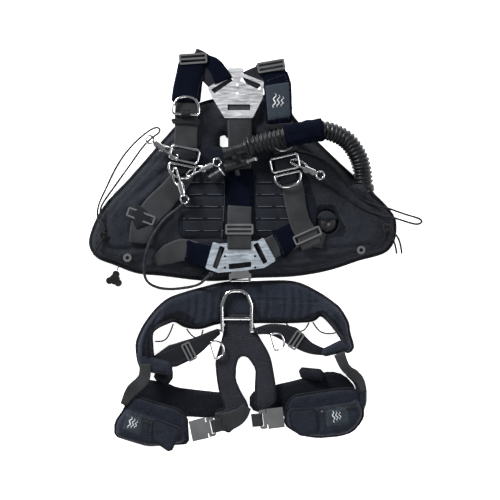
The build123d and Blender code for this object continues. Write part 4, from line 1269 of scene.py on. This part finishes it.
def trim_belt(belt):
    """Binding and stitches of the belt, and the padded ends of its arms."""
    loop = spline(BELT, 5.0, closed=True)
    rims = 5.4 * (1 + 1.65 * belt_height(loop))
    place(tape("belt_binding", loop, rims, "binding", width=7.0, thick=5.4), "harness",
          "pad_fabric")
    for inset in (5.5, 11.0):
        centre = np.array([0.0, -120.0])
        offs = loop - centre
        inner = centre + offs * (1 - inset / np.maximum(np.linalg.norm(offs, axis=1), 30))[:, None]
        harness_thread.row(inner, belt)
    harness_thread.row([(-30, -102), (40, -100), (110, -102), (156, -104)], belt)
    for side, outline in BELT_ENDS.items():
        end = stuffed(f"belt_end_{side}", outline, 25.2, 42.0, "pad_fabric", soft=6.0, step=4.5,
                      edge=8, rim=0.4, wave=0.7, size=24, seed=23, swell=0.4)
        bpy.context.view_layer.update()
        line = np.array(outline, float)
        middle = line.mean(0)
        harness_thread.row(np.vstack([middle + (line - middle) * 0.78,
                                      middle + (line[:1] - middle) * 0.78]), end)


def make_front_straps():
    """Webbing in front of the belt, sewn round the lift ring's axles, and the risers."""
    dark = {"body": "harness", "material": "webbing_black", "bow": 0.5, "wave": 0.3}
    left = lay("front_strap_left", 0,
               [(-182, -229, 23.4), (-132, -212, 23.8), (-96, -195, 23.6), (-70, -178, 23.6),
                (-50, -166, 23.4)], [24, 48, 42, 28, 13], "belt_straps", **dark, seed=31)
    right = lay("front_strap_right", 0,
                [(24, -166, 23.4), (58, -162, 23.6), (98, -174, 23.8), (136, -199, 23.6),
                 (172, -210, 23.4)], [13, 26, 40, 26, 14], **dark, seed=32)
    eyes = [tube("eye", [(x - 3.6, -166, 24), (x, -166, 24.1), (x + 3.6, -166, 24)], 4.9,
                 "webbing_black", step=1.5) for x in (-52, 26)]
    place(joined("front_strap_eyes", eyes), "harness", "webbing_black")
    bpy.context.view_layer.update()
    for line, on in (([(-172, -214), (-108, -188), (-62, -165)], left),
                     ([(-168, -236), (-134, -231), (-92, -207)], left),
                     ([(40, -157), (86, -153), (150, -202)], right)):
        harness_thread.row(line, on)
    risers = [strap("riser", route, widths, "webbing_grey", thick=2.0, wave=0.3)
              for route, widths in RISERS]
    place(joined("riser_webbing", risers), "harness", "webbing_grey", "riser_straps")


# route and widths of the webbing between each belt end and its leg loop
RISERS = [
    ([(-202, -232, 45.2), (-205, -262, 45.6), (-230, -288, 45.6), (-247, -316, 45.4)],
     [22, 26, 26, 13]),
    ([(198, -210, 45.2), (212, -240, 45.6), (240, -264, 45.6), (251, -291, 45.4)],
     [24, 20, 20, 10]),
]
YOKE_Z = 16.5
YOKE = [(-31, -128), (12, -128), (27, -170), (49, -206), (57, -225), (62, -252), (66, -276),
        (68, -312), (43, -329), (26, -326), (26, -285), (28, -245), (20, -231), (8, -216),
        (-9, -218), (-16, -237), (-17, -268), (-6, -293), (8, -316), (12, -341), (-33, -379),
        (-57, -331), (-36, -327), (-49, -290), (-54, -258), (-56, -229), (-43, -185)]


def make_yoke():
    """Crotch strap with its sewn seams and the webbing round its lower end."""
    across = [((-54, -222), (-20, -226)), ((24, -232), (58, -228)), ((-52, -262), (-17, -262)),
              ((26, -282), (66, -280)), ((-48, -300), (-4, -298)), ((-52, -332), (10, -322))]
    creases = [([(-40, -176), (0, -180), (30, -176)], 1.0, 1.6)]
    creases += [(ends, 0.9, 1.6) for ends in across]
    loop = straight(YOKE, 4.0, soft=5.0)
    yoke = pad("crotch_yoke", loop, YOKE_Z, YOKE_Z + 3.4, "crotch_fabric", step=4.0, edge=5,
               rim=0.5, wave=0.35, size=26, creases=creases, seed=33, swell=0.3, floor=False)
    place(yoke, "harness", "crotch_fabric", "crotch_strap", fill=0.2)
    place(tape("yoke_binding", loop, YOKE_Z + 1.7, "binding", width=4.0, thick=3.0), "harness",
          "crotch_fabric")
    bpy.context.view_layer.update()
    for points, _, _ in creases:
        for shift in (-1.8, 1.8):
            harness_thread.row([(x, y + shift) for x, y in points], yoke)
    lay("yoke_webbing", 0, [(-60, -352, 23.4), (-34, -354, 22.4), (-6, -341, 21.8),
                            (8, -322, 21.6)], [34, 40, 34, 20], body="harness", thick=2.0)


# plan outlines of each leg loop and its pocket, with the middle and the turn of its patch's mark
LOOPS = {
    "left": {
        "back": [(-221, -264), (-157, -276), (-139, -285), (-50, -295), (2, -298), (2, -336),
                 (-54, -349), (-118, -345), (-246, -345), (-240, -320), (-231, -287)],
        "wall": [(-238, -300), (-225, -296), (-230, -330), (-247, -352), (-247, -384),
                 (-264, -381), (-264, -353), (-244, -325)],
        "front": [(-236, -294), (-180, -313), (-135, -325), (-116, -342), (-113, -396),
                  (-139, -398), (-197, -401), (-264, -381), (-264, -353), (-244, -325)],
        "pocket": [(-240, -322), (-176, -343), (-124, -363), (-118, -392), (-139, -396),
                   (-172, -400), (-197, -400), (-261, -381), (-261, -354)],
        "flap": [(-184, -342), (-127, -364), (-148, -411), (-187, -384)],
        "band": [(-236, -334), (-180, -353), (-128, -373)],
        "panel": [(-190, -350), (-192, -372), (-196, -396)],
        "lump": [(-189, -256), (-148, -244), (-149, -272), (-172, -280)],
        "patch": [(-238, -327), (-205, -338), (-209, -378), (-246, -365)],
        "mark": (-225, -352), "turn": 72, "seed": 41},
    "right": {
        "back": [(14, -296), (66, -280), (116, -268), (182, -250), (212, -258), (236, -285),
                 (236, -330), (150, -345), (60, -345), (14, -330)],
        "wall": [(217, -238), (238, -247), (250, -266), (257, -289), (257, -314), (250, -334),
                 (244, -351), (234, -340), (238, -300), (232, -275), (212, -255)],
        "front": [(90, -317), (103, -299), (135, -293), (203, -283), (232, -283), (240, -300),
                  (250, -334), (244, -351), (226, -372), (201, -380), (157, -384),
                  (126, -380), (108, -372), (86, -357)],
        "pocket": [(92, -324), (145, -320), (220, -309), (238, -302), (247, -334), (241, -350),
                   (224, -370), (200, -378), (157, -382), (126, -378), (108, -370), (90, -355)],
        "flap": [(94, -325), (150, -322), (154, -366), (122, -379), (100, -362)],
        "band": [(98, -333), (146, -330), (236, -315)],
        "panel": [(158, -318), (160, -350), (156, -378)],
        "lump": [(116, -243), (168, -248), (171, -276), (124, -268)],
        "patch": [(166, -319), (213, -314), (219, -353), (172, -361)],
        "mark": (192, -337), "turn": 100, "seed": 45},
}
LOOP_TOP, POCKET_TOP = 43.6, 65.6
# span is the lowest and highest z; form goes to pad(), with the cell and soft of straight()
LEG_PADS = {
    "back": {"span": (0.4, 8.8), "cloth": "dark_lining",
             "form": {"cell": 4.5, "soft": 8.0, "step": 5.0, "edge": 9, "rim": 0.4,
                      "wave": 0.6, "size": 28, "swell": 0.4}},
    "wall": {"span": (0.6, 43.0), "cloth": "pad_fabric",
             "form": {"soft": 4.0, "step": 4.0, "edge": 8, "rim": 0.6, "wave": 1.2, "size": 18,
                      "swell": 0.4}},
    "front": {"span": (35.2, LOOP_TOP), "cloth": "pad_fabric",
              "form": {"soft": 6.0, "step": 4.5, "edge": 7, "rim": 0.5, "wave": 0.6, "size": 24,
                       "swell": 0.4}},
    "lump": {"span": (0.4, 24.0), "cloth": "dark_lining",
             "form": {"soft": 7.0, "step": 4.5, "edge": 12, "rim": 0.3, "wave": 1.0,
                      "size": 18}},
}


def make_pocket(side):
    """Body of one thigh pocket, creased where its zip and its seam press it in."""
    shape = LOOPS[side]
    creases = [(shape["band"], 2.0, 2.0), (shape["panel"], 1.4, 2.2)]
    return pad(f"pocket_{side}", straight(shape["pocket"], 4.0, soft=6.0), LOOP_TOP + 0.2,
               POCKET_TOP, "pad_fabric", step=4.2, edge=12, rim=0.36, wave=1.1, size=22,
               creases=creases, seed=shape["seed"], swell=0.4)


def make_loops():
    """Padded leg loops lying on their sides, with bound rims."""
    for side, shape in LOOPS.items():
        for number, (part, settings) in enumerate(LEG_PADS.items()):
            nodes = [f"leg_loop_{side}"] if part == "back" else []
            stuffed(f"leg_{part}_{side}", shape[part], *settings["span"], settings["cloth"],
                    *nodes, seed=shape["seed"] + number, **settings["form"])
            if part == "front":
                rim = straight(shape[part], 4.0, soft=6.0)
                place(tape(f"leg_binding_{side}", rim, 39.4, "binding", width=4.6, thick=4.0),
                      "harness", "pad_fabric")


def drape(obj, on, lift):
    """Lays a flat piece on the surface below it."""
    base = min(v.co.z for v in obj.data.vertices)
    for vertex in obj.data.vertices:
        start = Vector((vertex.co.x, vertex.co.y, RAY_TOP * MM))
        hit, where, *_ = on.ray_cast(start, Vector((0, 0, -1)))
        if hit:
            vertex.co.z = where.z + lift * MM + (vertex.co.z - base)
    obj.data.update()


def trim_pocket(side, pocket):
    """Zipped band, seams, patch and the hinged flap of one pocket."""
    shape = LOOPS[side]
    bpy.context.view_layer.update()
    band = shape["band"]
    rows = []
    for lift in (-3.2, 3.2):
        line = spline([(x, y + lift, 66.0) for x, y in band], 2.5)
        rows.append(section_tube("tape", line, steady(flat_profile(3.6, 1.2)),
                                 "webbing_black"))
    teeth = spline([(x, y, 66.0) for x, y in band], 1.2)
    rows.append(section_tube("teeth", teeth, lambda i, n: flat_profile(2.4 + 1.2 * (i % 2), 1.6),
                             "black_plastic"))
    zipper = joined(f"pocket_zip_{side}", rows)
    bpy.context.view_layer.update()
    drape(zipper, pocket, -0.3)
    place(zipper, "harness", "pad_fabric")
    harness_thread.row(shape["panel"], pocket)
    harness_thread.row([(x + 3.4, y) for x, y in shape["panel"]], pocket)
    for shift in (-6.0, 6.0):
        harness_thread.row([(x, y + shift) for x, y in band], pocket)
    start = {o.name for o in bpy.data.objects}
    patch(f"pocket_patch_{side}", "harness", shape["patch"], POCKET_TOP + 1.6, shape["turn"],
          shape["mark"], 24)
    for obj in [o for o in bpy.data.objects if o.name not in start]:
        drape(obj, pocket, 1.0 if obj.name.endswith("emblem") else -0.2)
    flap_loop = straight(shape["flap"], 3.6, soft=6.0)
    stuffed(f"flap_{side}_cloth", shape["flap"], 66.6, 69.2, "pad_fabric",
            f"pocket_flap_{side}", body=f"flap_{side}", fill=0.1, cell=3.6, soft=6.0, step=4.0,
            edge=5, rim=0.5, wave=0.3, size=24, seed=shape["seed"] + 5, swell=0.2, floor=False)
    edge = tape(f"flap_{side}_binding", flap_loop, 67.8, "binding", width=3.4, thick=2.2)
    place(edge, f"flap_{side}", "pad_fabric")


def make_tongue_webbing():
    """Webbing through each tongue's slot, moving with it."""
    for side, (x, y), turn in (("left", (-108, -372), 12), ("right", (84, -342), 187)):
        way = (math.cos(math.radians(turn)), math.sin(math.radians(turn)))
        route = [(x + way[0] * s, y + way[1] * s, z) for s, z in
                 ((44.0, 33.0), (46.0, 36.2), (49.0, 38.6), (58.0, 37.0), (66.0, 33.0))]
        place(strap(f"tongue_webbing_{side}", route, 27, "webbing_grey", thick=1.8, wave=0,
                    step=2.0), f"tongue_{side}", "webbing_grey")


BEVEL, BEVEL_SHARE = 0.6, 0.12


def bevelled(node, material, width):
    """Real finish and soft edges for a CAD piece kept as it is."""
    obj = frame["nodes"][node]
    obj.data.materials.clear()
    obj.data.materials.append(MATS[material])
    if width:
        soft = obj.modifiers.new("soft_edges", "BEVEL")
        soft.width = width * MM
        soft.segments = 2
        soft.limit_method = "ANGLE"
        soft.angle_limit = math.radians(40)


def dress_hardware():
    """Finishes of the CAD pieces that are kept as they are."""
    finishes = {
        "steel": ["grommets", "adjusters", "fixed_rings", "bolt_snap_bodies", "chest_ring_left",
                  "hip_ring_left", "hip_ring_right", "lift_ring", "leg_buckles",
                  "leg_tongue_left", "leg_tongue_right", "webbing_slides", "belt_slides",
                  "inflator_nipple", "link_buckle", "triglide_left", "triglide_right"],
        "plate_bright": ["shoulder_plate"],
        "plate_blue": ["lumbar_plate"],
        "black_plastic": ["hose_elbow", "inflator_body", "mouthpiece", "inflate_button",
                          "exhaust_button"],
        "bungee_black": ["pull_cord"],
        "knob_plastic": ["pull_knob"],
    }
    for name in ("left_upper", "left_middle", "left_lower", "right"):
        finishes["steel"] += [f"snap_gate_{name}", f"snap_eye_{name}"]
    for material, nodes in finishes.items():
        for node in nodes:
            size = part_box(node)[1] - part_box(node)[0]
            bevelled(node, material, min(BEVEL, BEVEL_SHARE * min(size) / MM))


# ---- stage -----------------------------------------------------------------------------------
FLOOR_HALF, FLOOR_Z = 6000.0, -0.3
FLOOR_WHITE, FLOOR_GLOW, WORLD_GLOW = 0.93, 0.85, 0.2
# place, size in metres and watts
LAMPS = [((-1700, 1900, 1300), 1.0, 125), ((1900, 300, 1700), 1.3, 26),
         ((200, -2100, 1500), 1.2, 13)]


def make_floor():
    """Pale floor that glows a little, so that it comes out white."""
    MATS["floor"] = moulded("white_floor", (FLOOR_WHITE,) * 3, rough=0.9, grain=0.05)
    shader = MATS["floor"].node_tree.nodes["Principled BSDF"]
    shader.inputs["Emission Color"].default_value = (1, 1, 1, 1)
    shader.inputs["Emission Strength"].default_value = FLOOR_GLOW
    corners = [(x * FLOOR_HALF, y * FLOOR_HALF, FLOOR_Z)
               for x, y in ((-1, -1), (1, -1), (1, 1), (-1, 1))]
    mesh("floor", corners, [(0, 1, 2, 3)], "floor", smooth=False)


def make_stage():
    """Floor, three soft lamps and a dim even surround."""
    make_floor()
    for spot, size, power in LAMPS:
        data = bpy.data.lights.new("soft_light", "AREA")
        data.shape = "DISK"
        data.size = size
        data.energy = power
        lamp = bpy.data.objects.new("soft_light", data)
        bpy.context.scene.collection.objects.link(lamp)
        lamp.location = Vector(spot) * MM
        lamp.rotation_euler = (Vector(spot) * -1).to_track_quat("-Z", "Y").to_euler()
        lamp.visible_camera = False
    world = bpy.data.worlds.new("studio")
    world.use_nodes = True
    back = world.node_tree.nodes["Background"]
    back.inputs["Color"].default_value = (1.0, 1.0, 1.0, 1)
    back.inputs["Strength"].default_value = WORLD_GLOW
    bpy.context.scene.world = world
    bpy.context.scene.view_settings.view_transform = "Standard"


# ---- build: the five simulated pads first, then what lies on them ----------------------------
# how far the cloth simulation may move a point of each pad
WING_CAP, PANEL_CAP, BELT_CAP, POCKET_CAP = 2.4, 0.7, 1.4, 1.6

wing = make_wing()
panel = make_panel()
belt = make_belt()
pockets = {side: make_pocket(side) for side in LOOPS}
inflate([(wing, WING_CAP), (panel, PANEL_CAP), (belt, BELT_CAP),
         *[(pocket, POCKET_CAP) for pocket in pockets.values()]])
place(wing, "vest", "wing_nylon", "wing_shell", "air_bladder", fill=0.15)
place(panel, "vest", "pad_fabric", "back_panel", fill=0.4)
place(belt, "harness", "pad_fabric", "hip_belt", fill=0.5)
place(pockets["left"], "harness", "pad_fabric", "pockets", fill=0.2)
place(pockets["right"], "harness", "pad_fabric", fill=0.2)
bpy.context.view_layer.update()
trim_wing(wing)
make_valve()
make_rows()
make_spine()
make_shoulders()
make_keepers()
make_side_straps()
make_hose()
make_inflator()
make_knots()
trim_belt(belt)
make_front_straps()
make_yoke()
make_loops()
for side_name, pocket_pad in pockets.items():
    trim_pocket(side_name, pocket_pad)
make_tongue_webbing()
dress_hardware()
vest_thread.make("vest_stitches", "vest", "webbing_black")
harness_thread.make("harness_stitches", "harness", "webbing_black")
make_stage()
